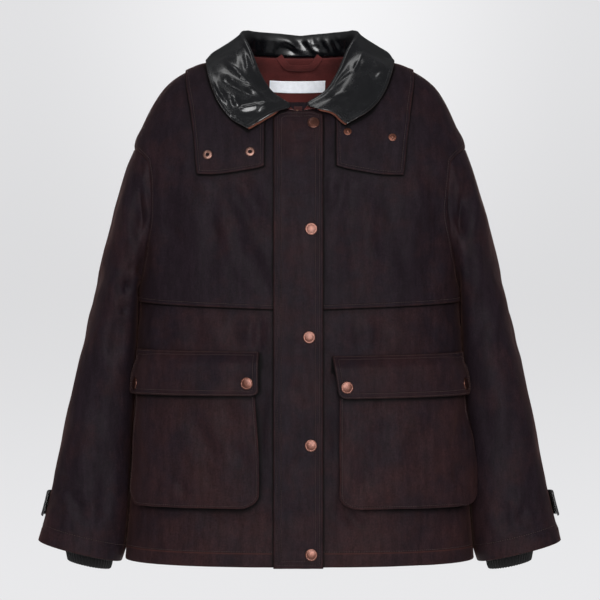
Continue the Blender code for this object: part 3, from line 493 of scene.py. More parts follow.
# Folds of the leather: of the two leaves, by side, and of the stand's inside.
FOLDS_LEAF = columns("""
x1    z1    x2    z2    bow  half  high  lean
-114  -15   -48   -52   1    4.4   3.8   0.5
-109  -27   -62   -53   1    4.4   -2.6  0.3
-106  8     -47   -51   -2   3.4   3.0   0.4
-100  -8    -66   -38   0    3.6   -2.2  0
-77   18    -69   -20   1    3.0   2.6   0.3
-94   -50   -83   -66   2    3.2   2.6   0.3
-86   -66   -45   -57   -3   3.2   2.8   0.3
-60   -74   -44   -58   0    2.8   2.4   0
-118  -30   -102  -58   2    3.2   2.2   0
-112  -44   -98   -66   -2   3.0   -1.8  0
-96   -78   -74   -92   2    3.4   1.8   0
-64   -88   -50   -94   1    3.0   1.4   0
-58   -30   -44   -40   -2   3.4   -2.0  0.3
81    6     74    -13   2    1.9   2.0   0.4
75    -12   47    -36   -3   2.1   2.2   0.5
90    -6    60    -36   -3   4.6   -1.6  0.2
37    -47   71    -51   2    5.5   2.6   0.3
106   -16   114   -28   1    5.5   2.2   0
92    8     86    -8    1    5.0   1.2   0
86    -64   64    -76   3    6.0   -1.6  0
122   -10   124   -26   1    5.0   -1.4  0
104   -52   92    -66   -2   5.0   1.2   0
""")
FOLDS_STAND = columns("""
x1    z1    x2    z2    bow  half  high  lean
-58   52    -54   22    0    3.2   2.8   0.3
-47   50    -44   22    -2   5.0   -2.0  0
-37   51    13    22    2    4.6   2.8   0.4
-24   49    4     23    2    3.6   2.0   0.3
-30   34    -6    22    3    4.0   -1.8  0
12    50    19    32    -3   2.8   3.0   0.4
17    34    30    26    -2   2.8   2.8   0.4
28    27    42    25    -1   2.6   2.6   0.3
42    24    42    34    -2   2.4   2.2   0.2
43    32    33    50    1    2.8   2.6   0.3
18    50    24    37    -1   2.2   -2.2  0
23    37    30    50    -1   2.2   -2.0  0
47    47    55    22    1    2.6   2.6   0.3
52    50    59    42    -1   2.4   2.2   0.2
59    42    67    50    -1   2.4   2.0   0.2
64    36    62    24    0    3.6   -1.8  0
""")


# ---------------------------------------------------------------- curves, noise and the torso surface
def curve(x, xs, ys):
    """Smooth curve through the rows of a table, with no overshoot, read at x. It runs on straight past the ends."""
    x = np.asarray(x, float)
    xs, ys = np.asarray(xs, float), np.asarray(ys, float)
    h = np.diff(xs)
    d = np.diff(ys) / h
    m = np.empty(len(xs))
    prod, total = d[:-1] * d[1:], d[:-1] + d[1:]
    m[1:-1] = np.where(prod > 0, 2 * prod / np.where(total == 0, 1, total), 0)
    m[0], m[-1] = d[0], d[-1]
    k = np.clip(np.searchsorted(xs, x, side="right") - 1, 0, len(xs) - 2)
    t = np.clip((x - xs[k]) / h[k], 0, 1)
    y = ys[k] * (1 + 2 * t) * (1 - t) ** 2 + ys[k + 1] * t * t * (3 - 2 * t)
    y = y + h[k] * (m[k] * t * (1 - t) ** 2 + m[k + 1] * t * t * (t - 1))
    return y + np.minimum(x - xs[0], 0) * m[0] + np.maximum(x - xs[-1], 0) * m[-1]


def ring(name, level):
    return curve(level, TORSO["level"], TORSO[name])


def bare_torso(deg, level):
    angle = np.radians(deg)
    s, c = np.sin(angle), np.cos(angle)
    n, p = ring("n", level), ring("p", level)
    front = c >= 0
    x = ring("half_w", level) * np.sign(s) * np.abs(s) ** (2 / n)
    y = np.where(front, ring("y_front", level), ring("y_back", level)) * np.abs(c) ** (2 / n)
    z_side = ring("z_side", level)
    z_mid = np.where(front, ring("z_front", level), ring("z_back", level))
    return np.stack(np.broadcast_arrays(x, y, z_side + (z_mid - z_side) * np.abs(c) ** p), -1)


def torso_normal(deg, level):
    round_ = bare_torso(deg + 0.6, level) - bare_torso(deg - 0.6, level)
    down = bare_torso(deg, level + 0.04) - bare_torso(deg, level - 0.04)
    normal = np.cross(down, round_)
    return normal / np.linalg.norm(normal, axis=-1, keepdims=True)


def torso(deg, level, out=0.0):
    """Point of the torso surface, moved out of it. deg is 0 at centre front, 90 at +X, 180 at centre back."""
    deg, level, out = np.broadcast_arrays(*(np.asarray(v, float) for v in (deg, level, out)))
    return bare_torso(deg, level) + torso_normal(deg, level) * out[..., None]


def deg_at(x, level):
    share = np.clip(np.abs(x) / ring("half_w", level), 0, 1)
    return np.degrees(np.arcsin(share ** (ring("n", level) / 2))) * np.sign(x)


def level_where(deg_of, z, low=-1.0, high=13.4):
    z = np.asarray(z, float)
    low, high = np.full(z.shape, low, float), np.full(z.shape, high, float)
    for _ in range(30):
        mid = (low + high) / 2
        below = bare_torso(deg_of(mid), mid)[..., 2] < z
        high, low = np.where(below, mid, high), np.where(below, low, mid)
    return (low + high) / 2


def spot(x, z):
    """(deg, level) of the point of the torso's front at x and z."""
    x, z = np.broadcast_arrays(np.asarray(x, float), np.asarray(z, float))
    widths = np.interp(np.abs(x), TORSO["half_w"][:9], TORSO["level"][:9])
    level = level_where(lambda at: deg_at(x, at), z, low=-1.0)
    level = np.maximum(level, np.where(np.abs(x) > TORSO["half_w"][0], widths, -1.0))
    return np.stack([deg_at(x, level), level], -1)


def body_x(y, z):
    """How far out the body's side is at this y and z."""
    y, z = np.asarray(y, float), np.asarray(z, float)

    def deg_of(level):
        reach = np.where(y < 0, -ring("y_front", level), ring("y_back", level))
        off = np.degrees(np.arcsin(np.clip(np.abs(y) / reach, 0, 1) ** (ring("n", level) / 2)))
        return np.where(y < 0, 90 - off, 90 + off)

    level = level_where(deg_of, z, low=ARM_TOP)
    return bare_torso(deg_of(level), level)[..., 0]


def ease(t):
    t = np.clip(t, 0, 1)
    return t * t * (3 - 2 * t)


def between(low, high, shares):
    return low + (high - low) * np.asarray(shares)


LATTICE = np.random.default_rng(11)
ORDER = LATTICE.permutation(256)
SLOPES = LATTICE.normal(size=(256, 3))
SLOPES /= np.linalg.norm(SLOPES, axis=1, keepdims=True)


def noise(points, size, seed=0.0):
    """Smooth noise, about -1 to 1, with features of this size."""
    q = np.asarray(points, float) / size + 31.7 * seed + 100.0
    whole = np.floor(q).astype(int)
    f = q - whole
    u = f * f * f * (f * (f * 6 - 15) + 10)
    total = 0.0
    for dx in (0, 1):
        for dy in (0, 1):
            for dz in (0, 1):
                pick = ORDER[(whole[..., 0] + dx) & 255]
                pick = ORDER[(pick + whole[..., 1] + dy) & 255]
                pick = ORDER[(pick + whole[..., 2] + dz) & 255]
                corner = np.array([dx, dy, dz])
                weight = np.prod(np.where(corner == 1, u, 1 - u), axis=-1)
                total = total + weight * np.sum(SLOPES[pick] * (f - corner), axis=-1)
    return total * 1.7


def folds(x, z, table, gain=1.0):
    """Height of the table's soft folds at x and z: each a ridge or trough along a bowed line, with softer flanks."""
    total = np.zeros(np.shape(x))
    for k in range(len(table["x1"])):
        x1, z1, x2, z2, bow, half, high, lean = (table[c][k] for c in ("x1", "z1", "x2", "z2", "bow", "half", "high", "lean"))
        t = np.linspace(0, 1, 11)
        dx, dz = x2 - x1, z2 - z1
        long_ = math.hypot(dx, dz)
        cx = x1 + dx * t - dz / long_ * bow * 4 * t * (1 - t)
        cz = z1 + dz * t + dx / long_ * bow * 4 * t * (1 - t)
        reach = 3.6 * half
        near = (x > cx.min() - reach) & (x < cx.max() + reach) & (z > cz.min() - reach) & (z < cz.max() + reach)
        if not near.any():
            continue
        px, pz = x[near], z[near]
        best, along, turn = np.full(px.shape, 1e9), np.zeros(px.shape), np.zeros(px.shape)
        for j in range(len(t) - 1):
            sx, sz = cx[j + 1] - cx[j], cz[j + 1] - cz[j]
            s = np.clip(((px - cx[j]) * sx + (pz - cz[j]) * sz) / (sx * sx + sz * sz), 0, 1)
            ex, ez = px - cx[j] - s * sx, pz - cz[j] - s * sz
            d = ex * ex + ez * ez
            better = d < best
            best = np.where(better, d, best)
            along = np.where(better, (j + s) / (len(t) - 1), along)
            turn = np.where(better, np.sign(sx * ez - sz * ex), turn)
        taper = ease(along / 0.34) * ease((1 - along) / 0.34)
        q = np.sqrt(best) / (half * (0.75 + 0.35 * taper)) * (1 + 0.45 * lean * turn)
        shape = np.exp(-q * q) - 0.32 * np.exp(-(((q - 2.0) / 0.8) ** 2))
        total[near] += gain * high * taper * shape
    return total


# ---------------------------------------------------------------- meshes
STITCHES = []  # (points, normals) of every sewn line, in millimetres
SHELLS = {}


def graded(length, step, fine=(True, True)):
    """Places from 0 to 1 along a length: close together near an edge that is sewn, wider in the middle."""
    head = [0, 0.7, 1.6, 2.6, 3.6, 4.6, 5.8, 7.4, 9.6]
    low = [h for h in head if h < length * 0.3] if fine[0] else [0.0]
    high = [length - h for h in head if h < length * 0.3][::-1] if fine[1] else [float(length)]
    count = max(2, int(round((high[0] - low[-1]) / step)) + 1)
    middle = np.linspace(low[-1], high[0], count)[1:-1]
    return np.concatenate([low, middle, high]) / length


def grid_quads(rows, cols, closed=False):
    ids = np.arange(rows * cols).reshape(rows, cols)
    if closed:
        ids = np.concatenate([ids, ids[:, :1]], 1)
    return np.stack([ids[:-1, :-1], ids[:-1, 1:], ids[1:, 1:], ids[1:, :-1]], -1).reshape(-1, 4)


def vertex_normals(points, quads):
    a, b, c, d = (points[quads[:, k]] for k in range(4))
    n = np.cross(c - a, d - b)
    total = np.stack([np.bincount(quads.ravel(), np.repeat(n[:, k], 4), len(points)) for k in range(3)], -1)
    return total / np.maximum(np.linalg.norm(total, axis=1, keepdims=True), 1e-12)


def outward(points, quads, away):
    """The quads, turned so that their normals point along away."""
    n = vertex_normals(points, quads)
    return quads if np.sum(n * away) > 0 else quads[:, ::-1].copy()


def border_edges(quads, count):
    e = np.concatenate([quads[:, [0, 1]], quads[:, [1, 2]], quads[:, [2, 3]], quads[:, [3, 0]]])
    here, back = e[:, 0] * count + e[:, 1], e[:, 1] * count + e[:, 0]
    return e[~np.isin(here, back)]


def distances(points, lines):
    """Distance of each point to the nearest of these segments."""
    spots = []
    for a, b in lines:
        steps = max(1, int(np.linalg.norm(b - a) / 0.8))
        spots += [a + (b - a) * k / steps for k in range(steps)]
    tree = KDTree(len(spots))
    for k, p in enumerate(spots):
        tree.insert(p, k)
    tree.balance()
    return np.array([tree.find(p)[2] for p in points])


def iso_lines(points, normals, quads, value, level):
    """Chains of points where value equals level on the mesh."""
    tris = np.concatenate([quads[:, [0, 1, 2]], quads[:, [0, 2, 3]]])
    above = value[tris] > level
    tris = tris[(above.sum(1) % 3) != 0]
    links, place = {}, {}
    for tri in tris.tolist():
        ends = []
        for a, b in ((tri[0], tri[1]), (tri[1], tri[2]), (tri[2], tri[0])):
            if (value[a] > level) != (value[b] > level):
                key = (min(a, b), max(a, b))
                if key not in place:
                    t = (level - value[key[0]]) / (value[key[1]] - value[key[0]])
                    place[key] = (points[key[0]] * (1 - t) + points[key[1]] * t, normals[key[0]] * (1 - t) + normals[key[1]] * t)
                ends.append(key)
        if len(ends) == 2:
            links.setdefault(ends[0], []).append(ends[1])
            links.setdefault(ends[1], []).append(ends[0])
    chains, seen = [], set()
    starts = [k for k, v in links.items() if len(v) == 1] + list(links)
    for start in starts:
        if start in seen:
            continue
        chain, at = [start], start
        seen.add(start)
        while True:
            onward = [k for k in links[at] if k not in seen]
            if not onward:
                break
            at = onward[0]
            seen.add(at)
            chain.append(at)
        if len(chain) > 3:
            if len(links[start]) == 2 and start in links[chain[-1]]:
                chain.append(start)
            chains.append((np.array([place[k][0] for k in chain]), np.array([place[k][1] for k in chain])))
    return chains


def keep_parts(chains, keep):
    """The parts of the chains whose points keep says yes to."""
    parts = []
    for p, n in chains:
        good = keep(p)
        start = None
        for k in range(len(p) + 1):
            if k < len(p) and good[k]:
                start = k if start is None else start
            elif start is not None:
                if k - start > 3:
                    parts.append((p[start:k], n[start:k]))
                start = None
    return parts


def new_mesh(name, points, faces, materials, face_materials=None, uv=None, values=None, smooth=True):
    """An object in metres from points in millimetres. faces is a list of arrays of equal-sided faces."""
    mesh = bpy.data.meshes.new(name)
    faces = [np.asarray(f, np.int64) for f in faces if len(f)]
    loops = np.concatenate([f.ravel() for f in faces])
    sizes = np.concatenate([np.full(len(f), f.shape[1]) for f in faces])
    starts = np.concatenate([[0], np.cumsum(sizes)[:-1]])
    mesh.vertices.add(len(points))
    mesh.vertices.foreach_set("co", (np.asarray(points) * MM).astype(np.float32).ravel())
    mesh.loops.add(len(loops))
    mesh.loops.foreach_set("vertex_index", loops.astype(np.int32))
    mesh.polygons.add(len(sizes))
    mesh.polygons.foreach_set("loop_start", starts.astype(np.int32))
    mesh.polygons.foreach_set("loop_total", sizes.astype(np.int32))
    if face_materials is not None:
        mesh.polygons.foreach_set("material_index", np.concatenate(face_materials).astype(np.int32))
    mesh.update(calc_edges=True)
    mesh.validate()
    if uv is not None:
        layer = mesh.uv_layers.new(name="UVMap")
        layer.data.foreach_set("uv", (np.asarray(uv)[loops] * MM).astype(np.float32).ravel())
    for key, value in (values or {}).items():
        attribute = mesh.attributes.new(key, "FLOAT", "POINT")
        attribute.data.foreach_set("value", np.asarray(value, np.float32))
    if smooth:
        mesh.shade_smooth()
    obj = bpy.data.objects.new(name, mesh)
    for m in materials:
        mesh.materials.append(m)
    bpy.context.scene.collection.objects.link(obj)
    return obj


def shell(name, points, quads, thick, materials, uv, edge=None, rust=0.0, pinch=0.2, inner_normals=None):
    """A closed thin shell: the outer skin, an inner skin and a rounded rim. edge is the distance to the sewn edges."""
    count = len(points)
    n = vertex_normals(points, quads)
    inward = n if inner_normals is None else inner_normals
    outer, inner = points.copy(), points - inward * thick
    edges = border_edges(quads, count)
    a, b = edges[:, 0], edges[:, 1]
    side = np.cross(points[b] - points[a], n[a] + n[b])
    side /= np.maximum(np.linalg.norm(side, axis=1, keepdims=True), 1e-9)
    ways = np.zeros_like(points)
    for k in range(3):
        ways[:, k] = np.bincount(a, side[:, k], count) + np.bincount(b, side[:, k], count)
    rim = np.unique(edges)
    way = ways[rim] / np.maximum(np.linalg.norm(ways[rim], axis=1, keepdims=True), 1e-9)
    middle = points[rim] - inward[rim] * thick / 2 + way * thick * 0.24
    outer[rim] -= n[rim] * thick * pinch
    inner[rim] += inward[rim] * thick * pinch
    index = np.full(count, -1)
    index[rim] = np.arange(len(rim)) + 2 * count
    faces = [quads, quads[:, ::-1] + count, np.stack([b, a, index[a], index[b]], -1), np.stack([index[b], index[a], a + count, b + count], -1)]
    which = [np.zeros(len(quads)), np.ones(len(quads)) if len(materials) > 1 else np.zeros(len(quads)), np.zeros(len(edges)), np.zeros(len(edges))]
    everything = np.concatenate([outer, inner, middle])
    edge = np.full(count, 50.0) if edge is None else edge
    rust = np.broadcast_to(rust, (count,)).astype(float)
    uv = np.concatenate([uv, uv, uv[rim]])
    values = {"edge": np.concatenate([edge, edge + 100.0, np.zeros(len(rim))]), "rust": np.concatenate([rust, rust, rust[rim]])}
    obj = new_mesh(name, everything, faces, materials, which, uv, values)
    SHELLS[name] = {"points": points, "normals": n, "quads": quads, "obj": obj, "uv": uv[:count]}
    return obj


def area_of(points, quads):
    a, b, c, d = (points[quads[:, k]] for k in range(4))
    return float(np.linalg.norm(np.cross(c - a, d - b), axis=1).sum() / 2) * 1e-6


# ---------------------------------------------------------------- nodes of the materials
def shader(name):
    made = bpy.data.materials.new(name)
    made.use_nodes = True
    return made, made.node_tree, made.node_tree.nodes["Principled BSDF"]


def node(tree, kind, inputs=None, **settings):
    made = tree.nodes.new(kind)
    for key, value in settings.items():
        setattr(made, key, value)
    for key, value in (inputs or {}).items():
        socket = made.inputs[key]
        if isinstance(value, bpy.types.NodeSocket):
            tree.links.new(value, socket)
        else:
            socket.default_value = value
    return made


def maths(tree, operation, *values, clamp=False):
    made = tree.nodes.new("ShaderNodeMath")
    made.operation = operation
    made.use_clamp = clamp
    for k, value in enumerate(values):
        if isinstance(value, bpy.types.NodeSocket):
            tree.links.new(value, made.inputs[k])
        else:
            made.inputs[k].default_value = value
    return made.outputs[0]


def mixed(tree, share, a, b, blend="MIX"):
    made = tree.nodes.new("ShaderNodeMix")
    made.data_type = "RGBA"
    made.blend_type = blend
    for socket, value in ((made.inputs[0], share), (made.inputs[6], a), (made.inputs[7], b)):
        if isinstance(value, bpy.types.NodeSocket):
            tree.links.new(value, socket)
        elif isinstance(value, (int, float)):
            socket.default_value = value
        else:
            socket.default_value = (*value, 1)
    return made.outputs[2]


def ranged(tree, value, low, high, to_low=0.0, to_high=1.0, smooth=True):
    made = tree.nodes.new("ShaderNodeMapRange")
    made.interpolation_type = "SMOOTHSTEP" if smooth else "LINEAR"
    tree.links.new(value, made.inputs["Value"])
    for key, number in (("From Min", low), ("From Max", high), ("To Min", to_low), ("To Max", to_high)):
        made.inputs[key].default_value = number
    return made.outputs["Result"]


def named(tree, name):
    made = tree.nodes.new("ShaderNodeAttribute")
    made.attribute_name = name
    return made.outputs["Fac"]


def noisy(tree, vector, size, detail=3.0, rough=0.55):
    """Noise about 0.5, with features of this size in metres."""
    made = node(tree, "ShaderNodeTexNoise", {"Vector": vector, "Scale": 1.0 / size, "Detail": detail, "Roughness": rough})
    return made.outputs["Fac"]


def woven(tree, uv, pitch, twill=False):
    """Height of a weave, 0 to 1, from the cloth's own lengths."""
    x = maths(tree, "MULTIPLY", node(tree, "ShaderNodeSeparateXYZ", {"Vector": uv}).outputs["X"], 2 * math.pi / pitch)
    y = maths(tree, "MULTIPLY", node(tree, "ShaderNodeSeparateXYZ", {"Vector": uv}).outputs["Y"], 2 * math.pi / pitch)
    if twill:
        return maths(tree, "MULTIPLY_ADD", maths(tree, "SINE", maths(tree, "ADD", x, y)), 0.5, 0.5)
    cross = maths(tree, "MULTIPLY", maths(tree, "SINE", x), maths(tree, "SINE", y))
    return maths(tree, "MULTIPLY_ADD", cross, 0.5, 0.5)


def line_at(tree, edge, offset, half):
    """1 on a line at this distance from the edge, 0 past half a width from it. All in millimetres."""
    off = maths(tree, "ABSOLUTE", maths(tree, "SUBTRACT", edge, offset))
    return ranged(tree, off, half, 0.0)


DARK, BROWN, RUST = (0.0104, 0.0066, 0.0093), (0.0222, 0.0096, 0.0102), (0.046, 0.0158, 0.0125)


def waxed_cotton(name, lines=(3.6,), dark=1.0, pale=0.0):
    """Waxed cotton: mottled wax over brown cloth, worn paler and rusty at its edges, with sewn grooves beside them;
    painted shade on each edge's outermost rim and in the grooves, and painted shadow beside the edges that lie on it.
    """
    made, tree, surface = shader(name)
    at = tree.nodes.new("ShaderNodeTexCoord")
    uv, place = at.outputs["UV"], at.outputs["Object"]
    edge, rust = named(tree, "edge"), named(tree, "rust")
    broad = ranged(tree, noisy(tree, place, 0.075, 4.0, 0.6), 0.36, 0.64)
    blotch = ranged(tree, noisy(tree, place, 0.022, 5.0, 0.65), 0.38, 0.66)
    grain = noisy(tree, place, 0.0022, 3.0, 0.6)
    slub = noisy(tree, node(tree, "ShaderNodeMapping", {"Vector": uv, "Scale": (1 / 0.0009, 1 / 0.014, 1.0)}).outputs[0], 1.0, 2.0)
    share = maths(tree, "MULTIPLY_ADD", broad, 0.55, maths(tree, "MULTIPLY_ADD", blotch, 0.25, maths(tree, "SUBTRACT", rust, 0.35)), clamp=True)
    colour = mixed(tree, share, DARK, BROWN)
    near = ranged(tree, edge, 3.4, 0.0)
    worn = maths(tree, "MULTIPLY", maths(tree, "POWER", near, 1.6), ranged(tree, noisy(tree, place, 0.009, 4.0, 0.7), 0.3, 0.62))
    # Painted shade on the outermost millimetre of each edge, where it turns away; the wear there is less.
    shaded_rim = ranged(tree, edge, 1.1, 0.1)
    worn = maths(tree, "MULTIPLY", worn, maths(tree, "MULTIPLY_ADD", shaded_rim, -0.85, 1.0))
    colour = mixed(tree, maths(tree, "MULTIPLY", worn, 0.42), colour, RUST)
    colour = mixed(tree, maths(tree, "MULTIPLY", shaded_rim, 0.5), colour, (0.0036, 0.0026, 0.0030))
    streak = noisy(tree, node(tree, "ShaderNodeMapping", {"Vector": place, "Scale": (1 / 0.007, 1 / 0.02, 1 / 0.045)}).outputs[0], 1.0, 3.0)
    speck = ranged(tree, grain, 0.3, 0.75, 0.66, 1.38, smooth=False)
    threads = ranged(tree, slub, 0.3, 0.7, 0.82, 1.18, smooth=False)
    shade = maths(tree, "MULTIPLY", maths(tree, "MULTIPLY", speck, threads), ranged(tree, streak, 0.3, 0.7, 0.84, 1.16))
    colour = mixed(tree, 1.0, colour, node(tree, "ShaderNodeCombineColor", {"Red": shade, "Green": shade, "Blue": shade}).outputs[0], "MULTIPLY")
    height = maths(tree, "MULTIPLY_ADD", woven(tree, uv, 0.00078), 0.030, maths(tree, "MULTIPLY", grain, 0.10))
    height = maths(tree, "ADD", height, maths(tree, "MULTIPLY", noisy(tree, place, 0.010, 3.0), 0.30))
    groove = None
    for offset in lines:
        here = line_at(tree, edge, offset, 1.15)
        groove = here if groove is None else maths(tree, "MAXIMUM", groove, here)
        puff = line_at(tree, edge, offset - 2.0, 1.8)
        height = maths(tree, "MULTIPLY_ADD", puff, 0.22, height)
    # Painted shade in the sewn grooves: they are darkened in colour as well as cut in by the bump.
    if groove is not None:
        height = maths(tree, "MULTIPLY_ADD", groove, -0.42, height)
        colour = mixed(tree, maths(tree, "MULTIPLY", groove, 0.35), colour, (0.006, 0.0042, 0.0045))
    if pale:
        beside = line_at(tree, edge, lines[0] - 1.8, 1.9)
        colour = mixed(tree, maths(tree, "MULTIPLY", beside, pale), colour, RUST)
    if dark != 1.0:
        colour = mixed(tree, 1.0, colour, (dark, dark, dark), "MULTIPLY")
    # Painted shadow beside the edges of the pieces that lie on this cloth: near black at the edge, fading over a few
    # millimetres.
    cover = named(tree, "cover")
    deep = maths(tree, "MULTIPLY_ADD", ranged(tree, cover, 0.68, 0.93), 0.72, maths(tree, "MULTIPLY", ranged(tree, cover, 0.0, 1.0), 0.22), clamp=True)
    colour = mixed(tree, deep, colour, (0.0012, 0.0009, 0.0011))
    tree.links.new(colour, surface.inputs["Base Color"])
    rough = ranged(tree, maths(tree, "ADD", maths(tree, "MULTIPLY", blotch, 0.5), maths(tree, "MULTIPLY", worn, 0.6)), 0.0, 1.1, 0.60, 0.78, smooth=False)
    tree.links.new(rough, surface.inputs["Roughness"])
    bump = node(tree, "ShaderNodeBump", {"Height": height, "Distance": 0.001, "Strength": 0.8})
    tree.links.new(bump.outputs[0], surface.inputs["Normal"])
    surface.inputs["Specular IOR Level"].default_value = 0.07
    surface.inputs["Sheen Weight"].default_value = 0.05
    surface.inputs["Sheen Roughness"].default_value = 0.38
    surface.inputs["Sheen Tint"].default_value = (0.62, 0.30, 0.24, 1)
    return made


def lining_cloth(name, colour=(0.076, 0.0165, 0.0155), twill=True):
    """Matt twill in rust brown."""
    made, tree, surface = shader(name)
    at = tree.nodes.new("ShaderNodeTexCoord")
    uv, place = at.outputs["UV"], at.outputs["Object"]
    weave = woven(tree, uv, 0.0011, twill)
    broad = ranged(tree, noisy(tree, place, 0.03, 4.0), 0.3, 0.7, 0.82, 1.16)
    fine = ranged(tree, noisy(tree, place, 0.0012, 2.0), 0.3, 0.7, 0.84, 1.16)
    shade = maths(tree, "MULTIPLY", maths(tree, "MULTIPLY", broad, fine), maths(tree, "MULTIPLY_ADD", weave, 0.22, 0.89))
    tint = node(tree, "ShaderNodeCombineColor", {"Red": shade, "Green": shade, "Blue": shade}).outputs[0]
    tree.links.new(mixed(tree, 1.0, colour, tint, "MULTIPLY"), surface.inputs["Base Color"])
    height = maths(tree, "MULTIPLY_ADD", weave, 0.05, maths(tree, "MULTIPLY", noisy(tree, place, 0.008, 3.0), 0.3))
    groove = line_at(tree, named(tree, "edge"), 2.4, 0.8)
    height = maths(tree, "MULTIPLY_ADD", groove, -0.3, height)
    tree.links.new(ranged(tree, weave, 0.0, 1.0, 0.86, 0.74), surface.inputs["Roughness"])
    bump = node(tree, "ShaderNodeBump", {"Height": height, "Distance": 0.001, "Strength": 0.8})
    tree.links.new(bump.outputs[0], surface.inputs["Normal"])
    surface.inputs["Specular IOR Level"].default_value = 0.10
    surface.inputs["Sheen Weight"].default_value = 0.05
    surface.inputs["Sheen Roughness"].default_value = 0.5
    return made


def glossy_leather(name, deep=1.0):
    """Black waxed leather: soft wrinkles, fine pores and a glossy finish, duller in patches and wherever the dull
    attribute is set.
    """
    made, tree, surface = shader(name)
    at = tree.nodes.new("ShaderNodeTexCoord")
    place = at.outputs["Object"]
    warp = node(tree, "ShaderNodeTexNoise", {"Vector": place, "Scale": 60.0, "Detail": 2.0})
    bent = node(tree, "ShaderNodeVectorMath", {0: place, 1: node(tree, "ShaderNodeVectorMath", {0: warp.outputs["Color"], "Scale": 0.012}, operation="SCALE").outputs[0]}, operation="ADD").outputs[0]
    wrinkle = node(tree, "ShaderNodeTexNoise", {"Vector": bent, "Scale": 55.0, "Detail": 3.0, "Roughness": 0.5}).outputs["Fac"]
    ridge = maths(tree, "SUBTRACT", 1.0, maths(tree, "MULTIPLY", maths(tree, "ABSOLUTE", maths(tree, "SUBTRACT", wrinkle, 0.5)), 5.0), clamp=True)
    ridge = maths(tree, "POWER", ridge, 2.0)
    pores = node(tree, "ShaderNodeTexVoronoi", {"Vector": place, "Scale": 900.0}, feature="DISTANCE_TO_EDGE").outputs["Distance"]
    pores = ranged(tree, pores, 0.0, 0.25)
    haze = noisy(tree, place, 0.018, 4.0, 0.6)
    height = maths(tree, "MULTIPLY", ridge, 0.05 * deep)
    height = maths(tree, "MULTIPLY_ADD", pores, 0.018, height)
    height = maths(tree, "MULTIPLY_ADD", noisy(tree, place, 0.014, 2.0), 0.12 * deep, height)
    edge = named(tree, "edge")
    groove = line_at(tree, edge, 4.0, 0.9)
    height = maths(tree, "MULTIPLY_ADD", groove, -0.12, height)
    colour = mixed(tree, ranged(tree, haze, 0.35, 0.7), (0.0018, 0.0020, 0.0027), (0.0030, 0.0033, 0.0042))
    worn = maths(tree, "MULTIPLY", ranged(tree, edge, 1.2, 0.0), 0.35)
    colour = mixed(tree, worn, colour, (0.030, 0.022, 0.020))
    tree.links.new(colour, surface.inputs["Base Color"])
    dull = named(tree, "dull")
    tree.links.new(maths(tree, "MULTIPLY_ADD", dull, 0.42, ranged(tree, haze, 0.3, 0.72, 0.20, 0.30)), surface.inputs["Roughness"])
    surface.inputs["Coat Weight"].default_value = 0.40
    if name == "collar_leather":
        tree.links.new(maths(tree, "MULTIPLY_ADD", dull, -0.40, 0.40), surface.inputs["Coat Weight"])
    bump = node(tree, "ShaderNodeBump", {"Height": height, "Distance": 0.001, "Strength": 0.75})
    tree.links.new(bump.outputs[0], surface.inputs["Normal"])
    surface.inputs["Specular IOR Level"].default_value = 0.5
    surface.inputs["Coat Roughness"].default_value = 0.12
    return made


def rib_knit(name):
    """Matt black rib knit: fine loops over the ribs, which are in the mesh."""
    made, tree, surface = shader(name)
    at = tree.nodes.new("ShaderNodeTexCoord")
    uv, place = at.outputs["UV"], at.outputs["Object"]
    loops = woven(tree, uv, 0.0016)
    fuzz = noisy(tree, place, 0.0012, 3.0, 0.7)
    shade = maths(tree, "MULTIPLY", ranged(tree, fuzz, 0.3, 0.7, 0.7, 1.35), maths(tree, "MULTIPLY_ADD", loops, 0.4, 0.8))
    tint = node(tree, "ShaderNodeCombineColor", {"Red": shade, "Green": shade, "Blue": shade}).outputs[0]
    tree.links.new(mixed(tree, 1.0, (0.0052, 0.0046, 0.0052), tint, "MULTIPLY"), surface.inputs["Base Color"])
    surface.inputs["Roughness"].default_value = 0.92
    surface.inputs["Specular IOR Level"].default_value = 0.2
    surface.inputs["Sheen Weight"].default_value = 0.07
    surface.inputs["Sheen Roughness"].default_value = 0.6
    height = maths(tree, "MULTIPLY_ADD", loops, 0.16, maths(tree, "MULTIPLY", fuzz, 0.12))
    bump = node(tree, "ShaderNodeBump", {"Height": height, "Distance": 0.001, "Strength": 0.8})
    tree.links.new(bump.outputs[0], surface.inputs["Normal"])
    return made


def copper(name, colour=(0.122, 0.045, 0.030), low=0.36, high=0.48, coat=0.5):
    """Copper plate, tarnished in patches and finely scratched."""
    made, tree, surface = shader(name)
    at = tree.nodes.new("ShaderNodeTexCoord")
    place = at.outputs["Object"]
    patch = ranged(tree, noisy(tree, place, 0.0035, 4.0, 0.65), 0.35, 0.68)
    scratch = noisy(tree, node(tree, "ShaderNodeMapping", {"Vector": place, "Scale": (1.0, 1.0, 7.0), "Rotation": (0.4, 0.7, 0.3)}).outputs[0], 0.0012, 2.0)
    dull = tuple(c * k for c, k in zip(colour, (0.80, 0.74, 0.72)))
    tree.links.new(mixed(tree, patch, colour, dull), surface.inputs["Base Color"])
    surface.inputs["Metallic"].default_value = 1.0
    tree.links.new(ranged(tree, maths(tree, "MULTIPLY_ADD", patch, 0.6, maths(tree, "MULTIPLY", scratch, 0.4)), 0.1, 0.9, low, high, smooth=False), surface.inputs["Roughness"])
    surface.inputs["Coat Weight"].default_value = coat
    surface.inputs["Coat Roughness"].default_value = 0.30
    height = maths(tree, "MULTIPLY_ADD", scratch, 0.02, maths(tree, "MULTIPLY", patch, 0.05))
    bump = node(tree, "ShaderNodeBump", {"Height": height, "Distance": 0.001, "Strength": 0.6})
    tree.links.new(bump.outputs[0], surface.inputs["Normal"])
    return made


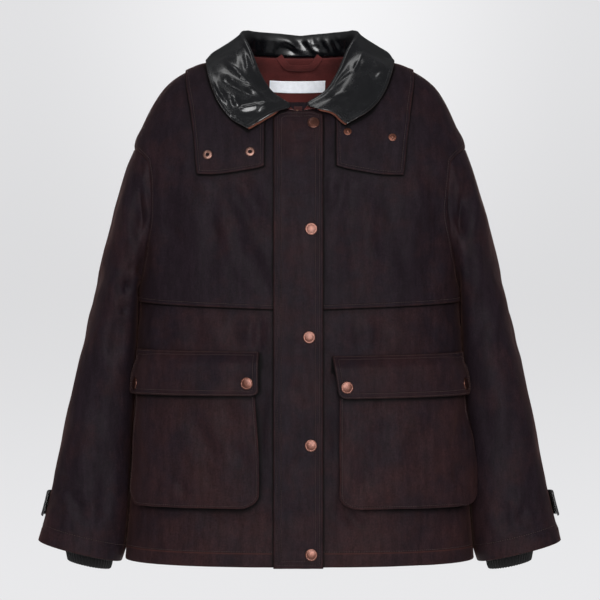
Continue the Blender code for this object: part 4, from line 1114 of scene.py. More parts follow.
def label_cloth(name):
    """White damask ribbon, bare."""
    made, tree, surface = shader(name)
    at = tree.nodes.new("ShaderNodeTexCoord")
    uv, place = at.outputs["UV"], at.outputs["Object"]
    weave = woven(tree, uv, 0.0007, True)
    shade = maths(tree, "MULTIPLY", maths(tree, "MULTIPLY_ADD", weave, 0.07, 0.965), ranged(tree, noisy(tree, place, 0.006, 3.0), 0.3, 0.7, 0.94, 1.03))
    tint = node(tree, "ShaderNodeCombineColor", {"Red": shade, "Green": shade, "Blue": shade}).outputs[0]
    colour = mixed(tree, 1.0, (0.90, 0.93, 0.985), tint, "MULTIPLY")
    rim = line_at(tree, named(tree, "edge"), 1.3, 0.6)
    colour = mixed(tree, maths(tree, "MULTIPLY", rim, 0.30), colour, (0.45, 0.47, 0.52))
    tree.links.new(colour, surface.inputs["Base Color"])
    surface.inputs["Roughness"].default_value = 0.55
    height = maths(tree, "MULTIPLY_ADD", weave, 0.035, maths(tree, "MULTIPLY", rim, -0.12))
    bump = node(tree, "ShaderNodeBump", {"Height": height, "Distance": 0.001, "Strength": 0.8})
    tree.links.new(bump.outputs[0], surface.inputs["Normal"])
    return made


def thread(name, colour=(0.040, 0.020, 0.018)):
    """Waxed sewing thread with its twist."""
    made, tree, surface = shader(name)
    place = tree.nodes.new("ShaderNodeTexCoord").outputs["Object"]
    shade = ranged(tree, noisy(tree, place, 0.004, 2.0), 0.3, 0.7, 0.75, 1.25)
    tint = node(tree, "ShaderNodeCombineColor", {"Red": shade, "Green": shade, "Blue": shade}).outputs[0]
    tree.links.new(mixed(tree, 1.0, colour, tint, "MULTIPLY"), surface.inputs["Base Color"])
    surface.inputs["Roughness"].default_value = 0.6
    bump = node(tree, "ShaderNodeBump", {"Height": noisy(tree, place, 0.0005, 1.0), "Distance": 0.0002, "Strength": 0.5})
    tree.links.new(bump.outputs[0], surface.inputs["Normal"])
    return made


M_DOUBLE = waxed_cotton("waxed_double", (1.8, 7.0))
M_HEM = waxed_cotton("waxed_hem", (20.0,), 1.0, 0.5)
M_YOKE = waxed_cotton("waxed_yoke", (5.2,))
M_FACING = waxed_cotton("waxed_facing", (), 0.85)
M_LINING = lining_cloth("rust_lining")
M_PIPING = lining_cloth("collar_piping", (0.100, 0.034, 0.022))
M_INSIDE = lining_cloth("inner_lining", (0.040, 0.0125, 0.0125))
M_LEATHER = glossy_leather("collar_leather")
M_TAB = glossy_leather("tab_leather", 0.5)
M_KNIT = rib_knit("rib_knit")
M_COPPER = copper("copper_plate")
M_STUD = copper("copper_dull", (0.135, 0.051, 0.033), 0.40, 0.52, 0.3)
M_SOCKET = copper("copper_pale", (0.215, 0.118, 0.094), 0.38, 0.50, 0.3)
M_BRASS = copper("zip_metal", (0.42, 0.27, 0.17), 0.3, 0.5, 0.0)
M_LABEL = label_cloth("label_ribbon")
M_THREAD = thread("thread")


# ---------------------------------------------------------------- the body's own folds, shared by all that lies on it
CALM_LAPPETS = ((-1, 48, 152), (1, 50, 154))


def body_lift(deg, level):
    """How far the body's cloth stands off its smooth surface: folds, less of them where something lies on it."""
    deg, level = np.broadcast_arrays(np.asarray(deg, float), np.asarray(level, float))
    deg = (deg + 180) % 360 - 180
    p = bare_torso(deg, level)
    x, z = p[..., 0], p[..., 2]
    c = np.cos(np.radians(deg))
    soft = noise(p, 92, 1) * 1.7 + noise(p, 40, 2) * 0.75
    crease = np.where(c > 0, folds(x, z, FOLDS_FRONT, 1.42), folds(x, z, FOLDS_BACK, 1.35))
    crease = crease + np.where(c > 0, 0.35, 0.5) * noise(p * [1, 1, 0.45], 16, 3)
    total = soft + crease * ease(np.abs(c) / 0.32)
    calm = 1 - 0.68 * (c > 0) * ease((x - PLACKET_X[0] + 9) / 11) * ease((PLACKET_X[1] + 9 - x) / 11)
    for side, near, far in CALM_LAPPETS:
        on = ease((side * x - near + 9) / 11) * ease((far + 7 - side * x) / 11) * ease((z + 168) / 12)
        calm = calm * (1 - 0.62 * on * (c > 0))
    calm = calm * (1 - 0.6 * ease((5.2 - level) / 0.8) * (c <= 0))
    pressed = ease((level - 8.3) / 0.8) * ease((0.62 - np.abs(c)) / 0.4)
    calm = calm * (1 - 0.85 * pressed) * ease((level + 0.2) / 0.9)
    # The hem stands a little wider at the sides.
    wide = 2.4 * ease((-z - 560) / 90) * ease((0.5 - np.abs(c)) / 0.4)
    # Its sides fill out against the sleeves.
    wide = wide + 3.8 * ease((-z - 290) / 36) * ease((560 + z) / 40) * ease((0.62 - np.abs(c + 0.15)) / 0.35)
    return total * calm - 0.5 * pressed + wide


def pucker(points, centres, depth=0.55, reach=13.0):
    """The cloth drawn in round each fastener, with short folds running off it."""
    total = np.zeros(len(points))
    for k, centre in enumerate(centres):
        off = points - np.asarray(centre)
        r = np.linalg.norm(off, axis=-1)
        near = r < 3 * reach
        if not near.any():
            continue
        turn = np.arctan2(off[near, 2], off[near, 0])
        rays = np.cos(turn * 3 + 1.3 * k) * 0.55 + np.cos(turn * 5 + 2.1 * k + 0.7) * 0.45
        total[near] += -depth * np.exp(-((r[near] / (reach * 0.8)) ** 2)) + 0.36 * rays * np.exp(-(((r[near] - reach * 1.15) / (reach * 0.5)) ** 2))
    return total


def lengths(p):
    """Lengths across and down a grid of points."""
    u = np.concatenate([np.zeros((p.shape[0], 1)), np.cumsum(np.linalg.norm(np.diff(p, axis=1), axis=-1), 1)], 1)
    v = np.concatenate([np.zeros((1, p.shape[1])), np.cumsum(np.linalg.norm(np.diff(p, axis=0), axis=-1), 0)], 0)
    return u, v


def with_lengths(main, first=None, last=None):
    """The grids with two more numbers a point: the cloth's own lengths. first and last join main's side columns."""
    u, v = lengths(bare_torso(main[..., 0], main[..., 1]))
    grids = [np.concatenate([main, u[..., None], v[..., None]], -1)]
    for wing, column in ((first, 0), (last, -1)):
        if wing is None:
            continue
        n = len(wing)
        wu, _ = lengths(bare_torso(wing[..., 0], wing[..., 1]))
        if column == 0:
            wu = wu - wu[:, -1:]
        wu = wu + u[:n, column][:, None]
        wv = np.broadcast_to(v[:n, column][:, None], wu.shape)
        grids.append(np.concatenate([wing, wu[..., None], wv[..., None]], -1))
    return grids


def weld(grids, key=2):
    """Joins grids that share points, which are compared by their first numbers: (points' numbers, quads)."""
    flat = np.concatenate([g.reshape(-1, g.shape[-1]) for g in grids])
    _, first, index = np.unique(np.round(flat[:, :key], 4), axis=0, return_index=True, return_inverse=True)
    index = index.ravel()
    quads, start = [], 0
    for g in grids:
        r, c = g.shape[:2]
        ids = index[start : start + r * c].reshape(r, c)
        start += r * c
        quads.append(np.stack([ids[:-1, :-1], ids[:-1, 1:], ids[1:, 1:], ids[1:, :-1]], -1).reshape(-1, 4))
    quads = np.concatenate(quads)
    same = (np.diff(np.sort(quads, axis=1), axis=1) == 0).any(1)
    return flat[first], quads[~same]


def body_piece(name, grids, out, thick, mats, sewn=None, extra=None, rust=0.0, seams=0.28):
    """A cloth shell on the torso. out is its outer skin's distance, extra its own folds, sewn picks the sewn borders."""
    params, quads = weld(grids)
    deg, level = params[:, 0], params[:, 1]
    base = out(deg, level) if callable(out) else np.full(len(deg), float(out))
    lift = base + body_lift(deg, level)
    if extra is not None:
        lift = lift + extra(deg, level, torso(deg, level, base))
    points = torso(deg, level, lift)
    normal = torso_normal(deg, level)
    quads = outward(points, quads, normal)
    edge = np.full(len(points), 60.0)
    if sewn is not None:
        border = border_edges(quads, len(points))
        middle = (params[border[:, 0]] + params[border[:, 1]]) / 2
        lines = [(points[a], points[b]) for (a, b), good in zip(border.tolist(), sewn(middle[:, 0], middle[:, 1], points[border].mean(1))) if good]
        edge = distances(points, lines)
        if seams:
            points = points + normal * (seams * noise(points, 7.5, 8) * np.exp(-((edge / 9.0) ** 2)))[:, None]
    rust = rust(deg, level, points) if callable(rust) else rust
    obj = shell(name, points, quads, thick, mats, params[:, 2:4], edge, rust)
    SHELLS[name].update(params=params, edge=edge)
    return obj


def stitch_lines(name, offsets, keep=None, into=None):
    """Sewn lines on a shell at these distances from its sewn edges."""
    piece = SHELLS[name]
    for offset in offsets:
        lines = iso_lines(piece["points"], piece["normals"], piece["quads"], piece["edge"], offset)
        if keep is not None:
            lines = keep_parts(lines, keep)
        (into if into is not None else STITCHES).extend(lines)


# ---------------------------------------------------------------- upper fronts and back
LEVELS = np.concatenate([[0.004], np.linspace(0, 6, 56)[1:], np.linspace(6, 7, 12)[1:], np.linspace(7, 8, 24)[1:], np.linspace(8, 8.85, 27)[1:], np.linspace(8.85, 9, 8)[1:]])


def seam_deg(level, deg):
    step = np.linalg.norm(bare_torso(deg + 0.5, level) - bare_torso(deg - 0.5, level), axis=-1)
    return SEAM / step


def armhole(level, which):
    return curve(level, ARMHOLE["level"], ARMHOLE[which])


def row_of(level, start, end, shares):
    deg = between(start, end, shares)
    return np.stack([deg, np.full(len(shares), float(level))], -1)


def front_grids(side):
    edge_x = FRONT_EDGE_L if side > 0 else FRONT_EDGE_R
    shares, wings = graded(215, 3.3, (False, True)), np.linspace(0, 1, 26)
    main, wing = [], []
    for level in LEVELS:
        cut = float(armhole(level, "front")) if level >= ARM_TOP - 1e-9 else ARMHOLE["front"][0]
        end = side * (cut - (seam_deg(level, cut) if level >= ARM_TOP - 1e-9 else 0))
        main.append(row_of(level, deg_at(edge_x, level), end, shares))
        if level <= ARM_TOP + 1e-9:
            start = end if level >= ARM_TOP - 1e-9 else side * ARMHOLE["front"][0]
            wing.append(row_of(level, start, side * (90 - seam_deg(level, 90)), wings))
    wing[-1][1:, 1] -= 0.006
    low = []
    for share in shares:
        deg_of = lambda at, share=share: between(deg_at(edge_x, at), side * (90 - seam_deg(at, 90)), share)
        level = float(level_where(deg_of, between(YOKE_Z_FRONT, YOKE_Z_SIDE, share)))
        low.append((float(deg_of(level)), level))
    low = np.array(low)
    top = main[-1]
    for part in (0.18, 0.36, 0.52, 0.66, 0.78, 0.87, 0.94, 1.0):
        level = top[:, 1] + (low[:, 1] - top[:, 1]) * part
        deg = between(deg_at(edge_x, level), side * (90 - seam_deg(level, 90)), shares)
        main.append(np.stack([deg, level], -1))
    return np.array(main), np.array(wing)


def yoke_flare(deg, level, points):
    """The yoke's free edge stands off a little and waves."""
    near = ease((level - 8.2) / 0.9) * ease((np.cos(np.radians(deg)) - 0.12) / 0.2)
    return near * (0.5 + 0.9 * noise(points * [1, 1, 0.2], 46, 21))


def sewn_upper(deg, level, points):
    return (level > 9.03) | ((level > 6.98) & (np.abs(deg) > 58))


for side, name in ((-1, "right"), (1, "left")):
    main, wing = front_grids(side)
    body_piece("cloth_front_upper_" + name, with_lengths(main, last=wing), 0.0, CLOTH, [M_YOKE, M_LINING], sewn_upper, yoke_flare)


def back_grids():
    shares, wings = np.linspace(0, 1, 119), np.linspace(0, 1, 22)
    main, first, last = [], [], []
    for level in np.concatenate([LEVELS[::1], np.linspace(9, 12.7, 72)[1:], [12.8, 12.88, 12.94, 12.98, 13.0]]):
        if level >= ARM_TOP - 1e-9:
            cut = float(armhole(min(level, ARM_PIT), "back"))
            end = cut - seam_deg(level, 180 - cut)
        else:
            end = ARMHOLE["back"][0]
        main.append(row_of(level, 180 - end, 180 + end, shares))
        if level <= ARM_TOP + 1e-9:
            free = 90 - seam_deg(level, 90)
            first.append(row_of(level, 180 - free, 180 - end, wings))
            last.append(row_of(level, 180 + end, 180 + free, wings))
    first[-1][:-1, 1] -= 0.006
    last[-1][1:, 1] -= 0.006
    return np.array(main), np.array(first), np.array(last)


def sewn_back(deg, level, points):
    return (level > 12.95) | ((level > 6.98) & (np.abs(deg - 180) > 58) & (level < 9.0))


main, first, last = back_grids()
body_piece("cloth_back", with_lengths(main, first, last), 0.0, CLOTH, [M_HEM, M_LINING], sewn_back, None)


# ---------------------------------------------------------------- lower fronts
def lower_out(deg, level):
    z = bare_torso(deg, level)[..., 2]
    return -(CLOTH + LIE + 0.8) * (1 - ease((-z - 346) / 26))


def lower_grid(side):
    edge_x = FRONT_EDGE_L if side > 0 else FRONT_EDGE_R
    shares, downs = graded(300, 3.4, (False, False)), graded(367, 3.6, (False, True))
    share, down = np.meshgrid(shares, downs)
    foot = bare_torso(between(deg_at(edge_x, 13.0), side * (90 - seam_deg(13.0, 90)), share), np.full(share.shape, 13.0))[..., 2]
    z = TUCK_Z * (1 - down) + foot * down
    deg_of = lambda at: between(deg_at(edge_x, at), side * (90 - seam_deg(at, 90)), share)
    level = level_where(deg_of, z)
    level[-1] = 13.0
    return np.stack([deg_of(level), level], -1)


def sewn_hem(deg, level, points):
    return level > 12.97


def hem_rust(deg, level, points):
    return 0.20 + 0.38 * ease((-points[:, 2] - 560) / 110)


def hem_roll(deg, level, points):
    """The hem's folded edge, sewn down 21 mm up, is a little fuller than the cloth above it and puckers along it."""
    down = -points[:, 2] - (688 - 22)
    inside = ease(down / 5) * ease((24 - down) / 6)
    return 0.35 * inside + 0.45 * noise(points * [1, 1, 0.3], 15, 31) * np.exp(-(((down - 2) / 10) ** 2))


for side, name in ((-1, "right"), (1, "left")):
    body_piece("cloth_front_lower_" + name, with_lengths(lower_grid(side)), lower_out, CLOTH, [M_HEM, M_LINING], sewn_hem, hem_roll, hem_rust)


# ---------------------------------------------------------------- placket, zip and chin guard
def placket_spots():
    return [spot(x, z) for x, z in zip(PLACKET_SNAPS["x"], PLACKET_SNAPS["z"])]


PLACKET_OUT = LIE + PLACKET
snap_places = np.array([torso(float(a[0]), float(a[1]), PLACKET_OUT + float(body_lift(a[0], a[1]))) for a in placket_spots()])


def placket_extra(deg, level, points):
    x, z = points[:, 0], points[:, 2]
    total = folds(x, z, FOLDS_PLACKET, 1.5)
    total = total + 0.30 * noise(points * [1, 1, 0.55], 17, 12)
    total = total + pucker(points, snap_places, 0.5, 12.0)
    free = ease((x - PLACKET_X[1] + 9) / 9)
    return np.maximum(total, -1.15) + 0.5 * free * noise(points * [0.2, 1, 1], 60, 14) ** 2


columns_x = between(*PLACKET_X, graded(66.1, 2.4))
rows_z = np.concatenate([PLACKET_TOP - np.array([0, 0.8, 1.8, 3, 4.4, 6, 8, 10.5]), np.linspace(PLACKET_TOP - 13.5, HEM_Z - 1.2 + 6, 186), HEM_Z - 1.2 + np.array([4.2, 2.8, 1.6, 0.7, 0])])
gx, gz = np.meshgrid(columns_x, rows_z)
corner = 6.5 * (np.clip((np.abs(gx - sum(PLACKET_X) / 2) - 16) / 17.05, 0, 1)) ** 2.4
gz = gz - corner * (1 - ease((PLACKET_TOP - gz) / 26))
at = spot(gx, gz)
body_piece("cloth_placket", with_lengths(at), PLACKET_OUT, PLACKET, [waxed_cotton("waxed_placket", (4.6, 10.0)), M_FACING], lambda deg, level, p: np.ones(len(deg), bool), placket_extra, 0.22)

zip_mid, zip_half = (FRONT_EDGE_R + FRONT_EDGE_L) / 2, (FRONT_EDGE_L - FRONT_EDGE_R) / 2 - 1.0


def zip_frame(z, x=0.0):
    """Point on the zip's face and its normal, at x from the zip's middle and z."""
    at = spot(zip_mid + x, z)
    p = torso(at[..., 0], at[..., 1], -0.2 + body_lift(at[..., 0], at[..., 1]))
    return p, torso_normal(at[..., 0], at[..., 1])


tape_z = np.linspace(-61.5, HEM_Z + 6, 170)
tape_x = np.array([-5.5, -5.1, -4.0, -2.6, -1.6, 1.6, 2.6, 4.0, 5.1, 5.5])
gx, gz = np.meshgrid(tape_x, tape_z)
tape, tape_n = zip_frame(gz, gx)
tape = tape - tape_n * np.where(np.abs(gx) < 1.8, 0.9, 0.55)[..., None]
u, v = lengths(tape)
quads = outward(tape.reshape(-1, 3), grid_quads(*tape.shape[:2]), tape_n.reshape(-1, 3))
shell("zip_tape", tape.reshape(-1, 3), quads, 0.9, [M_INSIDE], np.stack([u, v], -1).reshape(-1, 2))


def box_faces(count):
    """Faces of this many eight-cornered blocks, one after another."""
    one = np.array([[0, 1, 2, 3], [7, 6, 5, 4], [0, 4, 5, 1], [1, 5, 6, 2], [2, 6, 7, 3], [3, 7, 4, 0]])
    return (one[None] + 8 * np.arange(count)[:, None, None]).reshape(-1, 4)


teeth = []
for side in (-1, 1):
    heights = np.arange(-68.0 - (0 if side < 0 else 1.25), HEM_Z + 10, -2.5)
    base, up = zip_frame(heights, side * 1.0)
    down = np.gradient(base, axis=0)
    down /= np.linalg.norm(down, axis=1, keepdims=True)
    across = np.cross(up, down) * side
    across *= np.sign(across[:, :1]) * side
    for dx, dz, high in ((-1.9, 0.55, 0), (1.5, 0.75, 0), (1.5, -0.75, 0), (-1.9, -0.55, 0), (-1.6, 0.4, 1), (1.2, 0.5, 1), (1.2, -0.5, 1), (-1.6, -0.4, 1)):
        teeth.append(base - across * dx + down * dz + up * (0.35 if high else -0.75))
teeth = np.concatenate([np.stack(teeth[:8], 1).reshape(-1, 3), np.stack(teeth[8:], 1).reshape(-1, 3)])
new_mesh("zip_teeth", teeth, [box_faces(len(teeth) // 8)], [M_BRASS], smooth=False)

guard = np.meshgrid(between(-19, 18, graded(37, 2.6)), between(-54, -112, graded(58, 2.8)))
at = spot(*guard)
body_piece("cloth_chin_guard", with_lengths(at), -3.6, UNDER, [M_FACING], lambda deg, level, p: np.ones(len(deg), bool), None)


# ---------------------------------------------------------------- shoulder cape with lappets
def cape_half(side):
    lappet = LAPPET_R if side < 0 else LAPPET_L
    half = []
    for k in range(len(lappet["row"])):
        a = spot(side * lappet["in_x"][k], lappet["in_z"][k])
        b = spot(side * lappet["out_x"][k], lappet["out_z"][k])
        half.append([abs(a[0]), a[1], abs(b[0]), b[1]])
    for k in range(len(CAPE_BACK["row"])):
        half.append([CAPE_BACK[c][k] for c in ("in_deg", "in_level", "out_deg", "out_level")])
    half = np.array(half)
    steps = np.arange(len(half), dtype=float)
    fine = np.linspace(0, len(half) - 1, 600)
    track = np.stack([curve(fine, steps, half[:, c]) for c in range(4)], -1)
    outer = bare_torso(track[:, 0] * 0.35 + track[:, 2] * 0.65, track[:, 1] * 0.35 + track[:, 3] * 0.65)
    along = np.concatenate([[0], np.cumsum(np.linalg.norm(np.diff(outer, axis=0), axis=1))])
    at = np.interp(graded(along[-1], 3.3, (True, False)) * along[-1], along, fine)
    return np.stack([curve(at, steps, half[:, c]) for c in range(4)], -1)


right, left = cape_half(-1), cape_half(1)
right[:, [0, 2]] *= -1
left[:, [0, 2]] -= 360
ribbon = np.concatenate([right, left[::-1][1:]])
shares = graded(112, 3.0)
cape_grid = np.stack([between(ribbon[:, [0]], ribbon[:, [2]], shares), between(ribbon[:, [1]], ribbon[:, [3]], shares)], -1)
CAPE_OUT = CAPE_LIE + CLOTH
fastener_places = []
for table in (SOCKETS, STUDS):
    for x, z in zip(table["x"], table["z"]):
        a = spot(x, z)
        fastener_places.append(torso(float(a[0]), float(a[1]), CAPE_OUT))


def cape_extra(deg, level, points):
    front = points[:, 1] < 0
    total = np.where(front, folds(points[:, 0], points[:, 2], FOLDS_CAPE), 0.0) * ease(-points[:, 1] / 30)
    total = total + 0.35 * noise(points, 21, 15)
    back = ease((points[:, 1] - 10) / 50)
    total = total + back * 0.9 * noise(points * [1, 1, 0.35], 34, 16)
    # Over the point of the shoulder it is drawn down onto the sleeve head.
    total = total - 1.3 * ease((np.abs(points[:, 0]) - 128) / 26) * ease((72 - np.abs(points[:, 1])) / 40)
    return np.maximum(total + pucker(points, fastener_places, 0.5, 9.0), -1.5)


body_piece("cloth_cape", with_lengths(cape_grid), CAPE_OUT, CLOTH, [waxed_cotton("waxed_cape", (4.6,)), M_FACING], lambda deg, level, p: np.ones(len(deg), bool), cape_extra)


# ---------------------------------------------------------------- sleeves
LOOP_AT = np.arange(11.0)
LOOP_LEVEL = np.array([7, 7, 7, 7, 7, 7.4, 7.8, 8.2, 8.6, 8.85, 9])
LOOP_FRONT = np.array([90, 83, 76, 69, 62, 60.5, 61, 64.5, 72, 80, 90])
LOOP_BACK = np.array([90, 82.75, 75.5, 68.25, 61, 60, 61, 64.5, 72, 80, 90])
SLEEVE_ROWS = np.array([0, 0.4, 1, 1.7, 2.5, 3.4, 4.5, 5.8, 7, 8.2, 9.2, 10])
# Folds on the outer side of a sleeve, seen from the side: y in place of x.
FOLDS_SLEEVE_SIDE = columns("""
x1    z1    x2    z2    bow  half  high  lean
-40   -170  10    -240  5    12    -2.2  0.2
52    -190  12    -270  -5   12    -2.4  0.2
-44   -290  30    -318  6    11    -3.0  0.3
66    -300  -4    -350  -6   11    -3.2  0.3
-34   -372  40    -402  5    12    -2.6  0
60    -420  6     -480  -5   13    -2.4  0.2
-36   -470  10    -560  6    14    -2.2  0
58    -520  30    -610  -4   11    -2.4  0
-30   -590  -8    -650  3    9     -2.4  0
""")


def sleeve_column(column, row):
    return curve(row, SLEEVE["row"], SLEEVE[column])


def sleeve_bare(side, row, q):
    """Point of a sleeve's smooth surface: row runs down its table, q round it, 0 at the top and 10 under the arm."""
    row, q = np.broadcast_arrays(np.asarray(row, float), np.asarray(q, float) % 20)
    front = q <= 10
    half = np.where(front, q, 20 - q)
    level = curve(half, LOOP_AT, LOOP_LEVEL)
    deg = np.where(front, curve(half, LOOP_AT, LOOP_FRONT), 180 - curve(half, LOOP_AT, LOOP_BACK))
    first = bare_torso(deg, level)
    z_mid = (SLEEVE["out_z"][0] + SLEEVE["in_z"][0]) / 2
    z_half = (SLEEVE["out_z"][0] - SLEEVE["in_z"][0]) / 2
    depth = np.where(first[..., 1] < 0, SLEEVE["front"][0], SLEEVE["back"][0])
    turn_0 = np.arctan2(np.abs(first[..., 1]) / depth, (first[..., 2] - z_mid) / z_half)
    even = np.pi * half / 10

    def ellipse(row):
        turn = turn_0 + (even - turn_0) * ease(row / 5)
        c, s = np.cos(turn), np.sin(turn)
        c, s = np.sign(c) * np.abs(c) ** 0.92, np.abs(s) ** 0.92
        out_x, in_x, out_z, in_z = (sleeve_column(k, row) for k in ("out_x", "in_x", "out_z", "in_z"))
        y = sleeve_column("y_mid", row) + np.where(front, -sleeve_column("front", row), sleeve_column("back", row)) * s
        return np.stack([(out_x + in_x) / 2 + (out_x - in_x) / 2 * c, y, (out_z + in_z) / 2 + (out_z - in_z) / 2 * c], -1)

    keep = (1 - ease(row / 3.2))[..., None]
    point = ellipse(row) + keep * (first - ellipse(np.zeros(row.shape)))
    return point * [side, 1, 1]


def off_body(points, side, clear=PRESS):
    """Below the armpit the sleeve lies against the body's side, pressed flat where they meet."""
    x = side * points[..., 0]
    low = (points[..., 2] < -316) & (np.abs(points[..., 1]) < 117) & (x < 275)
    if low.any():
        near = body_x(points[..., 1][low], points[..., 2][low]) + clear
        d = x[low] - near
        x[low] = near + 0.5 * (d + np.sqrt(d * d + 9.0))
    moved = points.copy()
    moved[..., 0] = side * x
    return moved


def sleeve_surface(side, rows, qs):
    """A grid of a sleeve's outer skin with its folds, and its normals."""
    row, q = np.meshgrid(rows, qs, indexing="ij")
    flat = off_body(sleeve_bare(side, row, q), side)
    along = np.roll(flat, -1, 1) - np.roll(flat, 1, 1)
    n = np.cross(np.gradient(flat, axis=0), along)
    n /= np.maximum(np.linalg.norm(n, axis=-1, keepdims=True), 1e-9)
    middle = flat.mean(axis=1, keepdims=True)
    if np.sum(n * (flat - middle)) < 0:
        n = -n
    half = np.minimum(q, 20 - q)
    turn = np.pi * half / 10
    front = q <= 10
    across, y, z = side * flat[..., 0], flat[..., 1], flat[..., 2]
    s, c = np.sin(turn), np.cos(turn)
    table = FOLDS_SLEEVE_R if side < 0 else FOLDS_SLEEVE_L
    lift = np.where(front, folds(across, z, table), folds(across, z, FOLDS_SLEEVE_BACK)) * ease(s / 0.4)
    lift = lift + folds(y, z, FOLDS_SLEEVE_SIDE) * ease((c - 0.1) / 0.5) * (1 - 0.6 * ease((c - 0.72) / 0.2))
    full = 0.6 + 1.6 * ease((-z - 170) / 40) * ease((300 + z) / 45)
    if side > 0:
        full = full + 2.6 * ease((-z - 330) / 50) * ease((570 + z) / 60)
    lift = lift + full * ease((c - 0.2) / 0.5)
    lift = lift + noise(flat * [1, 1, 0.6], 84, 4 + side) * 1.9 + noise(flat * [1, 1, 0.35], 30, 6 + side) * 0.5
    lift = lift * ease(row / 0.9) * (1 - 0.7 * ease((row - 9.35) / 0.6))
    strap = ease((row - 7.9) / 0.4) * ease((9.5 - row) / 0.3) * (ease((q - 16.6) / 0.8) + ease((1.4 - q) / 0.8))
    lift = lift * (1 - 0.85 * strap)
    # The ring sewn into the armhole rides with the body's cloth.
    level = curve(half, LOOP_AT, LOOP_LEVEL)
    deg = np.where(front, curve(half, LOOP_AT, LOOP_FRONT), 180 - curve(half, LOOP_AT, LOOP_BACK)) * side
    lift = lift + body_lift(deg, level) * (1 - ease(row / 0.8))
    inner = ease((-c - 0.3) / 0.5) * ease((row - 0.8) / 1.2)
    lift = lift * (1 - 0.9 * inner)
    p = flat + n * lift[..., None]
    p = off_body(p, side)
    return p, n, row, q


def sleeve_place(side, row, column, out):
    """Point over the smooth sleeve by the construction's own row and column numbers, and the way out."""
    rows = np.interp(row, np.arange(12), SLEEVE_ROWS)
    q = np.asarray(column, float) % 20
    at = np.stack(np.broadcast_arrays(rows, q), -1)
    p = sleeve_bare(side, at[..., 0], at[..., 1])
    a = sleeve_bare(side, at[..., 0], at[..., 1] + 0.1) - sleeve_bare(side, at[..., 0], at[..., 1] - 0.1)
    b = sleeve_bare(side, at[..., 0] + 0.05, at[..., 1]) - sleeve_bare(side, at[..., 0] - 0.05, at[..., 1])
    n = np.cross(b, a)
    n /= np.linalg.norm(n, axis=-1, keepdims=True)
    n *= np.sign(np.sum(n * [side, 0, 0], axis=-1, keepdims=True) + 1e-9)
    return p + n * np.asarray(out, float)[..., None], n


sleeve_rows = np.concatenate([[0, 0.01, 0.02, 0.035, 0.05, 0.08], np.linspace(0.12, 9.86, 149), [9.90, 9.935, 9.965, 9.985, 10.0]])
sleeve_qs = np.linspace(0, 20, 129)[:-1]
for side, name in ((-1, "right"), (1, "left")):
    p, n, row, q = sleeve_surface(side, sleeve_rows, sleeve_qs)
    # The first rows are tucked under the edge of the body's cloth.
    away = p[6] - p[0]
    away /= np.linalg.norm(away, axis=-1, keepdims=True)
    half = np.minimum(sleeve_qs, 20 - sleeve_qs)
    level = curve(half, LOOP_AT, LOOP_LEVEL)
    deg = np.where(sleeve_qs <= 10, curve(half, LOOP_AT, LOOP_FRONT), 180 - curve(half, LOOP_AT, LOOP_BACK)) * side
    body_n = torso_normal(deg, level)
    for k, (back, sink) in enumerate(((3.4, 2.6), (1.4, 2.2), (0.2, 1.4), (-0.2, 0.7), (-0.1, 0.2), (0, 0.0))):
        p[k] = p[k] - away * back - body_n * sink
    # A turned and sewn hem, which puckers a little along its line.
    down = ease((row - 9.42) / 0.03) * ease((10.02 - row) / 0.05)
    p = p + n * (0.35 * down + 0.4 * noise(p * [1, 1, 0.4], 13, 41) * np.exp(-(((row - 9.42) / 0.2) ** 2)))[..., None]
    u, v = lengths(np.concatenate([p, p[:, :1]], 1))
    points = p.reshape(-1, 3)
    count_r, count_c = p.shape[:2]
    quads = outward(points, grid_quads(count_r, count_c, True), n.reshape(-1, 3))
    hem = [(p[-1, k], p[-1, (k + 1) % count_c]) for k in range(count_c)]
    edge = distances(points, hem)
    # The cloth's lengths meet under the arm, where nothing shows.
    turned = np.roll(np.arange(count_c), -count_c // 2)
    uu = np.empty(p.shape[:2])
    ring_u, _ = lengths(np.concatenate([p[:, turned], p[:, turned[:1]]], 1))
    uu[:, turned] = ring_u[:, :-1]
    uv = np.stack([uu, v[:, :-1]], -1).reshape(-1, 2)
    rust = 0.06 + 0.24 * ease((-points[:, 2] - 560) / 90)
    shell("cloth_sleeve_" + name, points, quads, CLOTH, [waxed_cotton("waxed_sleeve_" + name, (24.0,)), M_INSIDE], uv, edge, rust)
    SHELLS["cloth_sleeve_" + name].update(edge=edge)


# ---------------------------------------------------------------- knit cuffs and cuff tabs
def knit_point(row, turn, out):
    get = lambda column: curve(row, KNIT_CUFF["row"], KNIT_CUFF[column])
    c, s = np.cos(turn), np.sin(turn)
    x = (get("out_x") + get("in_x")) / 2 + ((get("out_x") - get("in_x")) / 2 + out) * c
    z = (get("out_z") + get("in_z")) / 2 + (get("out_z") - get("in_z")) / 2 * c
    y = get("y_mid") - (get("depth") + out) * s
    return np.stack([x, y, z], -1)


ribs = 46
knit_rows = np.concatenate([[0, 0.05, 0.12, 0.22], np.linspace(0.35, 5, 24)])
turns = np.linspace(0, 2 * np.pi, ribs * 5 + 1)[:-1]
for side, name in ((-1, "right"), (1, "left")):
    row, turn = np.meshgrid(knit_rows, turns, indexing="ij")
    wave = np.cos(turn * ribs + 0.5 * np.sin(row * 1.3))
    rib = 0.55 * np.sign(wave) * np.abs(wave) ** 0.7 * ease((row + 0.02) / 0.12)
    p = knit_point(row, turn, 0.0)
    swell = 0.9 * noise(p, 34, 51 + side) - 0.35
    p = knit_point(row, turn, rib + swell - 0.35) * [side, 1, 1]
    middle = p.mean(axis=1, keepdims=True)
    points = p.reshape(-1, 3)
    quads = outward(points, grid_quads(*row.shape, True), (p - middle).reshape(-1, 3))
    u, v = lengths(np.concatenate([p, p[:, :1]], 1))
    shell("knit_band_" + name, points, quads, 1.6, [M_KNIT], np.stack([u[:, :-1], v[:, :-1]], -1).reshape(-1, 2), pinch=0.3)

